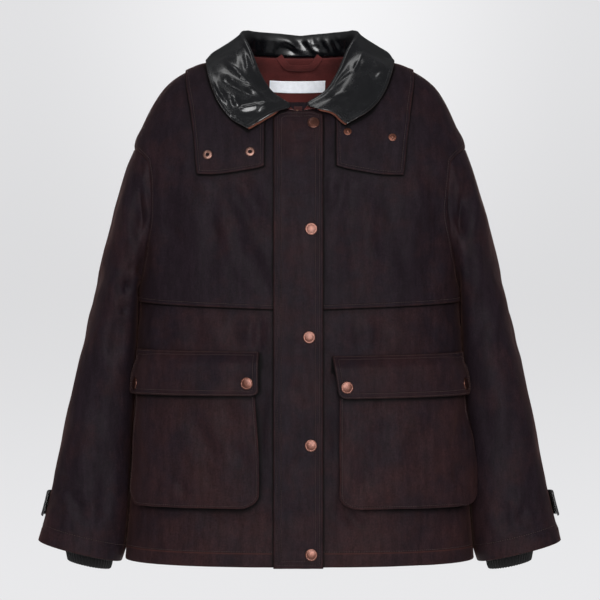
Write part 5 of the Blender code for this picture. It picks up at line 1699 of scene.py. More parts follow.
STRAP_ROWS = (9.17, 9.80)
STRAP_COLUMNS = np.array([0.6, 0.1, -0.4, -1.0, -1.7, -2.4])
STRAP_LIFT = np.array([4.2, 6.0, 5.6, 4.6, 4.0, 3.8])
strap_snaps = {}
for side, name in ((-1, "right"), (1, "left")):
    cross, long_ = np.meshgrid(graded(27, 1.8), graded(72, 2.2), indexing="ij")
    rows = STRAP_ROWS[0] + (STRAP_ROWS[1] - STRAP_ROWS[0]) * cross
    # The tab's free end is cut to a blunt point.
    cols = curve(long_ * 5, np.arange(6.0), STRAP_COLUMNS)
    rows = sum(STRAP_ROWS) / 2 + (rows - sum(STRAP_ROWS) / 2) * (1 - 0.42 * ease((long_ - 0.9) / 0.1))
    lift = curve(long_ * 5, np.arange(6.0), STRAP_LIFT) + (2.2 if side > 0 else 0.0) * (1 - long_) + 0.35 * noise(np.stack([cols * 12, rows * 20, 0 * rows], -1), 9, 55)
    p, n = sleeve_place(side, rows, cols, lift)
    points = p.reshape(-1, 3)
    quads = outward(points, grid_quads(*rows.shape), n.reshape(-1, 3))
    u, v = lengths(p)
    edge = distances(points, [(points[a], points[b]) for a, b in border_edges(quads, len(points)).tolist()])
    shell("tab_" + name, points, quads, CLOTH, [M_TAB], np.stack([u, v], -1).reshape(-1, 2), edge)
    SHELLS["tab_" + name].update(edge=edge)
    place, normal = sleeve_place(side, np.array(sum(STRAP_ROWS) / 2), np.array(-2.05), np.array(4.2))
    strap_snaps[name] = (place, normal)


# ---------------------------------------------------------------- collar and undercollar
def collar_lines(per_side):
    """The collar's sections: base, stand, inside, roll, outside, three places down the leaf, and its edge."""
    sections = []
    for side, rows in ((-1, COLLAR_R), (1, COLLAR_L)):
        half = []
        for row in np.linspace(0, 7, per_side):
            get = lambda column: float(curve(row, rows["row"], rows[column]))
            base = torso(get("base"), 0.0, -CLOTH / 2) + np.array([0, 0, 0.6])
            roll = np.array([get("roll_x"), get("roll_y"), get("roll_z")])
            edge = np.array([get("edge_x"), get("edge_y"), get("edge_z")])
            away = np.array([roll[0], roll[1], 0.0])
            away = away / np.linalg.norm(away)
            height = roll[2] - base[2]
            inside = roll - away * 3.6 - np.array([0, 0, min(5.0, 0.35 * height)])
            outside = roll + away * 4.4 - np.array([0, 0, 4.5])
            base = base + np.array([0, 0, LEATHER / 2 if height < 15 else 1.4])
            stand = base + (inside - base) * 0.5
            leaf = edge - outside
            out = np.cross(np.cross(away, [0, 0, 1]), leaf)
            out /= np.linalg.norm(out)
            if out @ (away + [0, 0, 0.6]) < 0:
                out = -out
            line = [base, stand, inside, roll, outside]
            # Over the shoulder the leaf falls straight, fullest near its edge.
            over = math.exp(-(((row - 3.0) / 0.8) ** 2))
            for share, part, straight in ((0.25, 0.8, 0.45), (0.5, 1.0, 1.15), (0.78, 0.6, 1.75)):
                line.append(outside + leaf * share + out * get("bulge") * (part + (straight - part) * over))
            line.append(edge)
            half.append(np.array(line) * np.array([side, 1, 1]))
        sections += half[::-1] if side < 0 else half[1:]
    return np.array(sections)


def through(lines, shares):
    """Smooth lines through the points of each row of a grid, read at these shares of their lengths (last rows first)."""
    steps = np.linalg.norm(np.diff(lines, axis=1), axis=-1) ** 0.5
    knots = np.concatenate([np.zeros((len(lines), 1)), np.cumsum(steps, 1)], 1)
    fine = []
    count = lines.shape[1]
    for k in range(count - 1):
        a, b, c, d = (lines[:, max(0, min(count - 1, k + j))] for j in (-1, 0, 1, 2))
        if k == 0:
            a = 2 * b - c
        if k == count - 2:
            d = 2 * c - b
        tb, tc = knots[:, k], knots[:, k + 1]
        ta = knots[:, k - 1] if k > 0 else tb - steps[:, 0]
        td = knots[:, k + 2] if k < count - 2 else tc + steps[:, -1]
        for t in np.linspace(0, 1, 13)[: 13 if k == count - 2 else 12]:
            now = (tb + (tc - tb) * t)[:, None]
            ta_, tb_, tc_, td_ = (v[:, None] for v in (ta, tb, tc, td))
            a1 = (tb_ - now) / (tb_ - ta_) * a + (now - ta_) / (tb_ - ta_) * b
            a2 = (tc_ - now) / (tc_ - tb_) * b + (now - tb_) / (tc_ - tb_) * c
            a3 = (td_ - now) / (td_ - tc_) * c + (now - tc_) / (td_ - tc_) * d
            b1 = (tc_ - now) / (tc_ - ta_) * a1 + (now - ta_) / (tc_ - ta_) * a2
            b2 = (td_ - now) / (td_ - tb_) * a2 + (now - tb_) / (td_ - tb_) * a3
            fine.append((tc_ - now) / (tc_ - tb_) * b1 + (now - tb_) / (tc_ - tb_) * b2)
    fine = np.stack(fine, 1)
    out = np.empty((len(lines), len(shares), 3))
    for k, line in enumerate(fine):
        along = np.concatenate([[0], np.cumsum(np.linalg.norm(np.diff(line, axis=0), axis=1))])
        for axis in range(3):
            out[k, :, axis] = np.interp(np.asarray(shares) * along[-1], along, line[:, axis])
    return out


LEAF_CLEAR = 9.5  # less towards the leaf's edge, which the cloth under it keeps off the cape
cloud_deg, cloud_level = (g.ravel() for g in np.meshgrid(np.linspace(-180, 178, 240), np.linspace(-0.2, 5, 90)))
cloud = bare_torso(cloud_deg, cloud_level)
cloud_out = torso_normal(cloud_deg, cloud_level)
cloud_tree = KDTree(len(cloud))
for k, place in enumerate(cloud):
    cloud_tree.insert(place, k)
cloud_tree.balance()


def over_body(points):
    """Height of each point over the torso surface, and the way out there."""
    near = np.array([cloud_tree.find(p)[1] for p in points.reshape(-1, 3)])
    out = cloud_out[near].reshape(points.shape)
    return np.sum((points - cloud[near].reshape(points.shape)) * out, axis=-1), out


def cleared(points, clear):
    moved = points.copy()
    for _ in range(3):
        height, out = over_body(moved)
        moved = moved + out * np.maximum(clear - height, 0)[..., None]
    return moved


def grid_normals(p):
    n = np.cross(np.gradient(p, axis=0), np.gradient(p, axis=1))
    return n / np.maximum(np.linalg.norm(n, axis=-1, keepdims=True), 1e-9)


lines = collar_lines(112)
lines[:, 5:] = cleared(lines[:, 5:], np.array([LEAF_CLEAR, LEAF_CLEAR, 8.6, 7.2]))
across = np.concatenate([np.linspace(0, 0.3, 15)[:-1], np.linspace(0.3, 0.46, 12)[:-1], 0.46 + 0.54 * graded(95, 2.6, (False, True))])
collar_mid = through(lines, across)
far = across > 0.5
collar_mid[:, far] = cleared(collar_mid[:, far], np.interp(across[far], [0.5, 0.8, 1.0], [LEAF_CLEAR, 8.8, 7.2]))
# The left leaf's front edge is cut in an S: its middle lies higher than a straight line from roll to corner.
for k in range(11):
    into = collar_mid[-12 - k] - collar_mid[-1 - k]
    into /= np.linalg.norm(into, axis=-1, keepdims=True)
    swing = np.sin(2 * np.pi * np.clip((across - 0.47) / 0.53, 0, 1) ** 1.2) * 1.6 + 4.2 * np.sin(np.pi * np.clip((across - 0.45) / 0.55, 0, 1))
    collar_mid[-1 - k] += into * (swing * (across > 0.45) * (1 - k / 11) ** 2)[:, None]
for _ in range(2):
    inner = collar_mid[1:-1, 1:-1]
    inner += 0.5 * ((collar_mid[:-2, 1:-1] + collar_mid[2:, 1:-1]) / 2 - inner)
normals = grid_normals(collar_mid)
middle = len(collar_mid) // 2
k_roll = int(np.argmax(collar_mid[middle, :, 2]))
if normals[middle, k_roll, 2] < 0:
    normals = -normals

# How far along its section each point is from the roll: stand before it, leaf after it.
roll_at = np.argmax(collar_mid[:, :, 2], axis=1)
past = across[None, :] - across[np.minimum(roll_at, len(across) - 1)][:, None]
leaf_share = ease((past - 0.03) / 0.08)
stand_share = ease((-past - 0.0) / 0.05)
x, y, z = (collar_mid[..., k] for k in range(3))
front = ease((20 - y) / 60)
# The left leaf is drawn tighter over the shoulder.
tight = 1 - 0.45 * ease((x - 20) / 20)
leather = folds(x, z, FOLDS_LEAF, 0.95) * tight * ease((past + 0.02) / 0.2) * front
leather = leather + folds(x, z, FOLDS_STAND, 0.48) * stand_share * ease((y - 25) / 30)
leather = leather + (noise(collar_mid, 34, 61) * 0.8 + noise(collar_mid * [1, 1, 1.5], 15, 62) * 0.16) * (1 - 0.65 * stand_share) * tight
sharp = 1 - np.abs(noise(collar_mid * [1, 0.8, 1.3], 30, 63)) * 2.2
leather = leather + 0.25 * np.clip(sharp, 0, 1) ** 3
edge_calm = 1 - 0.55 * ease((across - 0.93) / 0.07)[None, :]
base_calm = ease(across / 0.08)[None, :]
leather = leather * edge_calm * base_calm
leather = np.where(leather < 0, leather * (1 - 0.6 * leaf_share), leather)
top = collar_mid + normals * (LEATHER / 2 + leather)[..., None]
points = top.reshape(-1, 3)
quads = outward(points, grid_quads(*top.shape[:2]), normals.reshape(-1, 3))
border = border_edges(quads, len(points))
column = np.arange(len(points)) % top.shape[1]
section = np.arange(len(points)) // top.shape[1]
outer_edge = [(points[a], points[b]) for a, b in border.tolist() if (column[a] == top.shape[1] - 1 and column[b] == top.shape[1] - 1) or (section[a] in (0, len(top) - 1) and section[b] in (0, len(top) - 1) and column[a] > k_roll)]
edge = distances(points, outer_edge)
u, v = lengths(top)
shell("leather_collar", points, quads, LEATHER * 0.8, [M_LEATHER, M_LINING], np.stack([u, v], -1).reshape(-1, 2), edge)
SHELLS["leather_collar"].update(edge=edge)

# The cloth under the leaf shows as a narrow line beyond the leather's edge.
from_k = int(np.searchsorted(across, 0.42))
leaf = (collar_mid + normals * np.minimum(leather, 0.6)[..., None] * 0.7)[:, from_k:].copy()
leaf_n = normals[:, from_k:]
tip = leaf[:, -1] - leaf[:, -3]
tip /= np.linalg.norm(tip, axis=-1, keepdims=True)
share = ((across[from_k:] - across[from_k]) / (1 - across[from_k]))[None, :, None]
leaf = leaf - tip[:, None] * 1.2 * share ** 4
for end, inner_end in ((0, 2), (-1, -3)):
    way = leaf[end] - leaf[inner_end]
    way /= np.maximum(np.linalg.norm(way, axis=-1, keepdims=True), 1e-9)
    leaf[end] += way * 1.4 * ease((share[0] - 0.0) / 0.2)
under = leaf - leaf_n * (LEATHER / 2 + 0.45)
points = under.reshape(-1, 3)
quads = outward(points, grid_quads(*under.shape[:2]), leaf_n.reshape(-1, 3))
u, v = lengths(under)
shell("cloth_undercollar", points, quads, UNDER, [M_LINING], np.stack([u, v], -1).reshape(-1, 2))


def tube(name, path, radius, material, sides=8):
    """A closed round cord along a path of points in millimetres."""
    path = np.asarray(path, float)
    along = np.gradient(path, axis=0)
    along /= np.linalg.norm(along, axis=1, keepdims=True)
    up = np.array([0.13, 0.21, 0.97])
    a = np.cross(along, up)
    a /= np.linalg.norm(a, axis=1, keepdims=True)
    b = np.cross(along, a)
    turn = np.linspace(0, 2 * np.pi, sides, endpoint=False)
    radius = np.broadcast_to(np.asarray(radius, float), (len(path),))
    rings = path[:, None] + radius[:, None, None] * (a[:, None] * np.cos(turn)[None, :, None] + b[:, None] * np.sin(turn)[None, :, None])
    points = np.concatenate([rings.reshape(-1, 3), path[:1] - along[:1] * radius[0] * 0.6, path[-1:] + along[-1:] * radius[-1] * 0.6])
    quads = outward(rings.reshape(-1, 3), grid_quads(len(path), sides, True), (rings - path[:, None]).reshape(-1, 3))
    n = len(path) * sides
    flip = quads[0, 0] < quads[0, 3]
    first = [(n, (k + 1) % sides, k) if flip else (n, k, (k + 1) % sides) for k in range(sides)]
    last = [(n + 1, n - sides + k, n - sides + (k + 1) % sides) if flip else (n + 1, n - sides + (k + 1) % sides, n - sides + k) for k in range(sides)]
    s = np.concatenate([[0], np.cumsum(np.linalg.norm(np.diff(path, axis=0), axis=1))])
    uv = np.stack([np.repeat(s, sides), np.tile(turn * 1.2, len(path))], -1)
    uv = np.concatenate([uv, [[0, 0], [s[-1], 0]]])
    return new_mesh(name, points, [quads, np.array(first + last)], [material], uv=uv, values={"edge": np.full(len(points), 30.0), "rust": np.zeros(len(points))})


ends = []
for section in (0, -1):
    ends.append(under[section, ease(share[0][:, 0] / 0.2) > 0.3])
pipes = []
for k, rim in enumerate(ends):
    bias = leaf_n[0 if k == 0 else -1][-len(rim):] * 0.5
    pipes.append(tube("collar_piping_" + ("right" if k == 0 else "left"), rim + bias, 1.3, M_PIPING, 10))


# ---------------------------------------------------------------- back neck lining, label and hanger loop
free = ARMHOLE["back"][0]
degs = np.linspace(90.4, 269.6, 104)
lining_levels = np.concatenate([[0.02, 0.08], np.linspace(0.2, 3.9, 40), [3.96, 4.0]])
gd, gl = np.meshgrid(degs, lining_levels)
body_piece("cloth_back_lining", with_lengths(np.stack([gd, gl], -1)), -CLOTH - 0.8, UNDER, [M_LINING], lambda deg, level, p: level > 3.97, lambda deg, level, p: -np.abs(0.8 * noise(p, 30, 71)) * ease(level / 0.5))

LABEL_W = 81.0
gl, gs = np.meshgrid(between(1.3, 1.91, graded(17, 1.2)), graded(81, 1.8), indexing="ij")
a = 180 - deg_at(LABEL_W / 2, gl)
label_deg = a + (360 - 2 * a) * gs + 1.4
LABEL_OUT = -CLOTH - 0.8 - UNDER - 1.3


def label_extra(deg, level, points):
    return -0.35 - 0.5 * np.abs(noise(points, 19, 73)) - 0.25 * np.cos(np.radians((deg - 180) * 6))


params = np.stack([label_deg, gl], -1)
body_piece("label_ribbon", with_lengths(params), LABEL_OUT, 0.8, [M_LABEL], lambda deg, level, p: np.ones(len(deg), bool), label_extra, seams=0)

row = np.linspace(0, len(LOOP["deg"]) - 1, 60)
knots = np.arange(len(LOOP["deg"]), dtype=float)
place = torso(curve(row, knots, LOOP["deg"]), curve(row, knots, LOOP["level"]), -np.minimum(curve(row, knots, LOOP["inside"]), 9.8))
for _ in range(3):
    place[1:-1] = place[1:-1] * 0.5 + (place[:-2] + place[2:]) * 0.25
along = np.gradient(place, axis=0)
along /= np.linalg.norm(along, axis=1, keepdims=True)
out = torso(curve(row, knots, LOOP["deg"]), curve(row, knots, LOOP["level"]), 0.0) - place
out /= np.linalg.norm(out, axis=1, keepdims=True)
cross = np.cross(along, out)
cross /= np.linalg.norm(cross, axis=1, keepdims=True)
out = np.cross(cross, along)
wide = np.array([-5, -4.6, -3.4, -1.8, 0, 1.8, 3.4, 4.6, 5])
belly = 0.5 * (1 - (wide / 5) ** 2)
tape = place[:, None] + cross[:, None] * wide[None, :, None] + out[:, None] * (0.7 - belly)[None, :, None]
points = tape.reshape(-1, 3)
quads = outward(points, grid_quads(*tape.shape[:2]), np.repeat(-out, len(wide), 0))
u, v = lengths(tape)
edge = np.tile(5 - np.abs(wide), len(place))
shell("loop_tape", points, quads, 1.3, [M_LINING], np.stack([v, u], -1).reshape(-1, 2), edge)
SHELLS["loop_tape"].update(edge=edge)


# ---------------------------------------------------------------- bellows pockets and flaps
POCKET_RADIUS, SIDE_RADIUS = 19.0, 33.0  # of the lower corners, towards the middle and towards the side
# The pocket's rim from the body outwards: inset from its outline and distance from the body. Its folded edge overhangs.
RIM = columns("""
in    out
3.4   1.9
3.0   3.4
2.2   6.5
1.5   9.6
1.0   12.0
0.35  13.1
0.0   13.8
0.1   14.5
0.7   15.2
1.7   15.3
3.0   15.0
4.4   14.8
6.0   14.8
8.0   14.9
10.0  15.0
12.0  15.0
""")


def side_depth(share, part):
    """A bag and its flap lie flatter towards the side of the body, where they have this part of their full depth."""
    return 1 - (1 - part) * ease((share - 0.6) / 0.36)


def pocket_piece(k, name):
    side, bottom, start, end = (POCKETS[c][k] for c in ("side", "bottom", "pocket_in", "pocket_deg"))
    width = np.linalg.norm(np.diff(bare_torso(np.linspace(deg_at(start, 11.0), end, 60), 11.0), axis=0), axis=1).sum() + 4
    top = POCKET_TOP

    def outline(inset, count_side, count_arc, count_low):
        """U-shaped line at this inset: down the inner side, round, along the bottom, round and up the outer side."""
        r, far = POCKET_RADIUS - inset, SIDE_RADIUS - inset
        left, right, low = inset, width - inset, bottom + inset
        shares, turn = np.linspace(0, 1, count_side), np.linspace(0, np.pi / 2, count_arc)
        flat = left + r + (right - far - left - r) * np.linspace(0, 1, count_low)
        s = np.concatenate([np.full(count_side, left), (left + r - r * np.cos(turn))[1:], flat[1:], (right - far + far * np.sin(turn))[1:], np.full(count_side - 1, right)])
        z = np.concatenate([top + (low + r - top) * shares, (low + r - r * np.sin(turn))[1:], np.full(count_low - 1, low), (low + far - far * np.cos(turn))[1:], (low + far + (top - low - far) * shares)[1:]])
        return s, z

    n_side, n_arc, n_low = 48, 13, 46
    rim = []
    for inset, out in zip(RIM["in"], RIM["out"]):
        s, z = outline(inset, n_side, n_arc, n_low)
        rim.append(np.stack([s, z, np.full(len(s), out)], -1))
    rim = np.array(rim)
    loop = rim[-1]
    corner_a = n_side - 1 + (n_arc - 1) // 2
    corner_b = len(loop) - 1 - corner_a
    left, low, right = loop[: corner_a + 1], loop[corner_a : corner_b + 1], loop[corner_b:][::-1]
    a, b = np.linspace(0, 1, len(left))[:, None, None], np.linspace(0, 1, len(low))[None, :, None]
    head = left[0] + (right[0] - left[0]) * b[0]
    face = (1 - b) * left[:, None] + b * right[:, None] + (1 - a) * head[None] + a * low[None]
    face = face - ((1 - a) * (1 - b) * left[0] + (1 - a) * b * right[0] + a * (1 - b) * low[0] + a * b * low[-1])

    def with_uv(grid):
        return np.concatenate([grid, grid[..., :2]], -1)

    params, quads = weld([with_uv(face), with_uv(rim[::-1])], 3)
    s, z, out = params[:, 0], params[:, 1], params[:, 2]
    share = s / width

    def params_of(share, z):
        mouth = POCKETS["mouth_in"][k] + (1.5 if side < 0 else 0.0)
        inner = start + (mouth - start) * (1 - ease((-z - 425) / 130))
        deg_of = lambda at: side * between(deg_at(inner, at), end, share)
        level = level_where(deg_of, z)
        return deg_of(level), level

    deg, level = params_of(share, z)
    full = out
    part = between(POCKETS["side_top"][k] - 0.06, POCKETS["side_low"][k], ease((-z - 468) / 60))
    out = 1.9 + (out - 1.9) * side_depth(share, part)
    flat = torso(deg, level, out)
    table = FOLDS_POCKET_R if side < 0 else FOLDS_POCKET_L
    inset = np.minimum(np.minimum(s, width - s), z - bottom)
    whole = ease((full - 3) / 9)
    lift = folds(flat[:, 0], flat[:, 2], table) * ease((inset - 0.5) / 7)
    lift = lift + (noise(flat, 52, 81 + k) * 1.3 + noise(flat, 22, 83 + k) * 0.55) * ease((inset + 2) / 12)
    lift = lift + 0.35 * noise(flat, 8, 85) * np.exp(-((inset / 8) ** 2))
    sag = ease((z - bottom) / 40) * ease((top - z) / 50 + 0.4)
    lift = lift + 0.8 * sag * np.sin(np.pi * np.clip(share, 0, 1)) - 0.6
    room = np.minimum(lift, 1.6) * whole + body_lift(deg, level) * (0.55 - 0.35 * whole)
    points = torso(deg, level, out + room)
    # The fullness at the sides and bottom isn't quite even.
    wave = noise(np.stack([s, 0 * s, z], -1), 38, 87 + k) * 0.9 * whole * ease((16 - inset) / 12)
    middle_s, middle_z = (s - width / 2) / (width / 2), (z - (top + bottom) / 2) / ((top - bottom) / 2)
    points = points + np.stack([side * wave * middle_s, 0 * s, wave * middle_z], -1)
    if side > 0:
        points[:, 0] += 4.5 * ease((share - 0.8) / 0.2) * ease((-z - 470) / 90) * whole
    normal = torso_normal(deg, level)
    quads = outward(points, quads, normal)
    fold_deg, fold_level = params_of(rim[7][:, 0] / width, rim[7][:, 1])
    fold = torso(fold_deg, fold_level, 1.9 + (rim[7][:, 2] - 1.9) * side_depth(rim[7][:, 0] / width, 0.5))
    edge = distances(points, list(zip(fold[:-1], fold[1:])))
    edge = np.where(full < 12.5, 3.0 + edge * 0.2, edge)
    rust = 0.40 + 0.15 * ease((-z - 520) / 60)
    shell("cloth_pocket_" + name, points, quads, CLOTH * 0.8, [waxed_cotton("waxed_pocket_" + name, (3.4,)), M_INSIDE], params[:, 3:5], edge, rust)
    SHELLS["cloth_pocket_" + name].update(edge=edge, out=out)


def flap_params(k, share, z, drop):
    """(deg, level) of a place on a flap: share of its width, height z and drop as a share of its length."""
    inner = between(FLAPS["top_x"][k], FLAPS["low_x"][k], drop)
    deg_of = lambda at: FLAPS["side"][k] * between(deg_at(inner, at), FLAPS["flap_deg"][k], share)
    level = level_where(deg_of, z)
    return deg_of(level), level


def flap_rise(k, share, drop):
    """How much of its full height over the body a flap has: up over the pocket's mouth, later and less at the side."""
    rise = curve(drop, [0, 0.05, 0.16, 0.30, 0.48, 0.74, 1.0], [0.0, 0.16, 0.58, 0.92, 1.0, 1.0, 0.97])
    late = curve(drop, [0, 0.2, 0.42, 0.62, 0.8, 1.0], [0.0, 0.10, 0.62, 0.92, 0.98, 1.0])
    return (rise + (late - rise) * ease((share - 0.66) / 0.32)) * side_depth(share, FLAPS["depth"][k])


def flap_piece(k, name):
    get = lambda column: FLAPS[column][k]
    shares = graded(172, 2.6)
    drops = np.concatenate([[0, 0.012, 0.03, 0.055, 0.085], np.linspace(0.115, 0.90, 30), [0.925, 0.95, 0.97, 0.985, 1.0]])
    share, drop = np.meshgrid(shares, drops)
    cut = 5.0 * np.clip((np.abs(share - 0.5) - 0.462) / 0.038, 0, 1) ** 2.2
    z = between(between(get("top_in"), get("top_side"), share), between(get("low_in"), get("low_side"), share) + cut, drop)
    rise = flap_rise(k, share, drop)
    params = np.stack(flap_params(k, share, z, drop), -1)
    flat, quads = weld([np.concatenate([with_lengths(params)[0], rise[..., None], drop[..., None]], -1)])
    deg, level, rise, drop = flat[:, 0], flat[:, 1], flat[:, 4], flat[:, 5]
    out = LIE + CLOTH + 0.2 + (FLAP_OUT - LIE - CLOTH) * rise
    base = torso(deg, level, out)
    lift = folds(base[:, 0], base[:, 2], FOLDS_FLAP) + noise(base, 46, 91 + k) * 1.0 + noise(base, 19, 93 + k) * 0.4
    lift = lift * (0.25 + 0.75 * rise)
    lift = lift + ease((drop - 0.55) / 0.45) * 0.9 * noise(base * [1, 1, 0.2], 33, 95 + k)
    lift = lift + pucker(base, [place for place, _ in flap_snaps[name].values()], 0.7, 12.0) + 0.5
    points = torso(deg, level, out + lift + body_lift(deg, level) * (1 - rise))
    normal = torso_normal(deg, level)
    quads = outward(points, quads, normal)
    edge = distances(points, [(points[a], points[b]) for a, b in border_edges(quads, len(points)).tolist()])
    points = points + normal * (0.25 * noise(points, 8, 8) * np.exp(-((edge / 8.0) ** 2)))[:, None]
    shell("cloth_flap_" + name, points, quads, CLOTH, [M_DOUBLE, M_FACING], flat[:, 2:4], edge, 0.30)
    SHELLS["cloth_flap_" + name].update(edge=edge)


def on_flap(k, x, z):
    """Place and way out of a snap on a flap, at this x and z."""
    drop = (FLAPS["top_in"][k] - z) / (FLAPS["top_in"][k] - FLAPS["low_in"][k])

    def place(share, z):
        deg, level = flap_params(k, share, z, drop)
        return torso(deg, level, LIE + CLOTH + 0.2 + (FLAP_OUT - LIE - CLOTH) * side_depth(share, FLAPS["depth"][k]))

    low, high = 0.0, 1.0
    for _ in range(24):
        share = (low + high) / 2
        if abs(place(share, z)[0]) > x:
            high = share
        else:
            low = share
    normal = np.cross(place(share + 0.03, z) - place(share - 0.03, z), place(share, z - 3) - place(share, z + 3))
    normal *= -np.sign(normal[1]) / np.linalg.norm(normal)
    return place(share, z), normal


flap_snaps = {
    name: {where: on_flap(k, FLAPS["snap_" + where][k], FLAPS[f"snap_{where}_z"][k]) for where in ("in", "side")}
    for k, name in ((0, "right"), (1, "left"))
}
for k, name in ((0, "right"), (1, "left")):
    pocket_piece(k, name)
    flap_piece(k, name)


# ---------------------------------------------------------------- snaps, sockets and studs
CAP = [(0, 2.25), (1.6, 2.24), (3.4, 2.12), (4.9, 1.92), (5.9, 1.72), (6.3, 1.62), (6.7, 1.66), (7.1, 1.72), (7.6, 1.66), (8.05, 1.45), (8.35, 1.12), (8.5, 0.7), (8.42, 0.35), (8.1, 0.05), (7.6, -0.1), (0, -0.1)]
STUD = [(0, 3.4), (1.3, 3.38), (2.0, 3.2), (2.45, 2.85), (2.6, 2.4), (2.5, 1.95), (2.3, 1.5), (2.35, 1.2), (2.7, 1.02), (3.4, 0.98), (4.4, 0.95), (5.1, 0.85), (5.5, 0.6), (5.6, 0.3), (5.5, 0.0), (0, 0.0)]
SOCKET = [(2.3, 1.0), (2.4, 1.6), (2.75, 1.95), (3.3, 2.02), (4.0, 1.86), (4.9, 1.84), (5.6, 1.74), (6.2, 1.4), (6.6, 0.95), (6.7, 0.55), (6.6, 0.15), (6.3, 0.0), (2.4, 0.0), (2.25, 0.3)]
SNAP_TREES = {}


def surface_under(shell_name, place, normal):
    """Where the line through place along normal meets a shell's outer skin."""
    if shell_name not in SNAP_TREES:
        piece = SHELLS[shell_name]
        SNAP_TREES[shell_name] = BVHTree.FromPolygons([tuple(p) for p in piece["points"]], [tuple(q) for q in piece["quads"].tolist()])
    tree = SNAP_TREES[shell_name]
    hit = tree.ray_cast(Vector(place + normal * 12), Vector(-normal), 40)
    if hit[0] is None:
        hit = tree.find_nearest(Vector(place))
    return np.array(hit[0]), np.array(hit[1])


def turned(name, profile, place, normal, material, closed=False, steps=48):
    normal = normal / np.linalg.norm(normal)
    a = np.cross(normal, [0.2, 0.1, 1.0])
    a /= np.linalg.norm(a)
    b = np.cross(normal, a)
    turn = np.linspace(0, 2 * np.pi, steps, endpoint=False)
    ring = a * np.cos(turn)[:, None] + b * np.sin(turn)[:, None]
    points, faces, rows = [], [], []
    for r, h in profile:
        if r == 0:
            rows.append([len(points)])
            points.append(place + normal * h)
        else:
            rows.append(list(range(len(points), len(points) + steps)))
            points += list(place + normal * h + ring * r)
    pairs = list(zip(rows[:-1], rows[1:])) + ([(rows[-1], rows[0])] if closed else [])
    quads, tris = [], []
    for top, low in pairs:
        for k in range(steps):
            j = (k + 1) % steps
            if len(top) == 1:
                tris.append((top[0], low[j], low[k]))
            elif len(low) == 1:
                tris.append((top[k], top[j], low[0]))
            else:
                quads.append((top[k], top[j], low[j], low[k]))
    points = np.array(points)
    n = np.cross(points[quads[0][1]] - points[quads[0][0]], points[quads[0][2]] - points[quads[0][1]])
    away = points[quads[0][0]] - place
    check = n @ (normal * 1.0 + 0.4 * away / np.linalg.norm(away))
    if closed:
        outer = max(range(len(profile)), key=lambda k: profile[k][0])
        q = [f for f in quads if f[0] in rows[outer]][0]
        n = np.cross(points[q[1]] - points[q[0]], points[q[2]] - points[q[1]])
        check = n @ (points[q[0]] - place)
    if check < 0:
        quads = [q[::-1] for q in quads]
        tris = [t[::-1] for t in tris]
    obj = new_mesh(name, points, [np.array(quads)] + ([np.array(tris)] if tris else []), [material])
    obj.data.set_sharp_from_angle(angle=math.radians(50))
    return obj


fasteners = {}


def fasten(node, name, profile, shell_name, place, normal, material=None, closed=False, sink=0.15):
    at, n = surface_under(shell_name, place, normal)
    if n @ normal < 0:
        n = -n
    n = n * 0.5 + normal * 0.5
    fasteners[node] = turned(name, profile, at - n / np.linalg.norm(n) * sink, n, material or M_COPPER, closed)


for k, (deg, level) in enumerate(placket_spots()):
    fasten(f"snap_placket_{k + 1}", f"cap_placket_{k + 1}", CAP, "cloth_placket", torso(float(deg), float(level), PLACKET_OUT), torso_normal(float(deg), float(level)))
for table, kind, profile, closed in ((SOCKETS, "socket", SOCKET, True), (STUDS, "stud", STUD, False)):
    for k, (x, z) in enumerate(zip(table["x"], table["z"])):
        deg, level = (float(v) for v in spot(x, z))
        fasten(f"{kind}_{k + 1}", f"ring_{kind}_{k + 1}", profile, "cloth_cape", torso(deg, level, CAPE_OUT), torso_normal(deg, level), M_SOCKET if closed else M_STUD, closed)
for name, spots in flap_snaps.items():
    for where, (place, normal) in spots.items():
        fasten(f"snap_flap_{name}_{where}", f"cap_flap_{name}_{where}", CAP, "cloth_flap_" + name, place, normal)
for name, (place, normal) in strap_snaps.items():
    fasten("snap_strap_" + name, "cap_strap_" + name, CAP, "tab_" + name, place, normal)


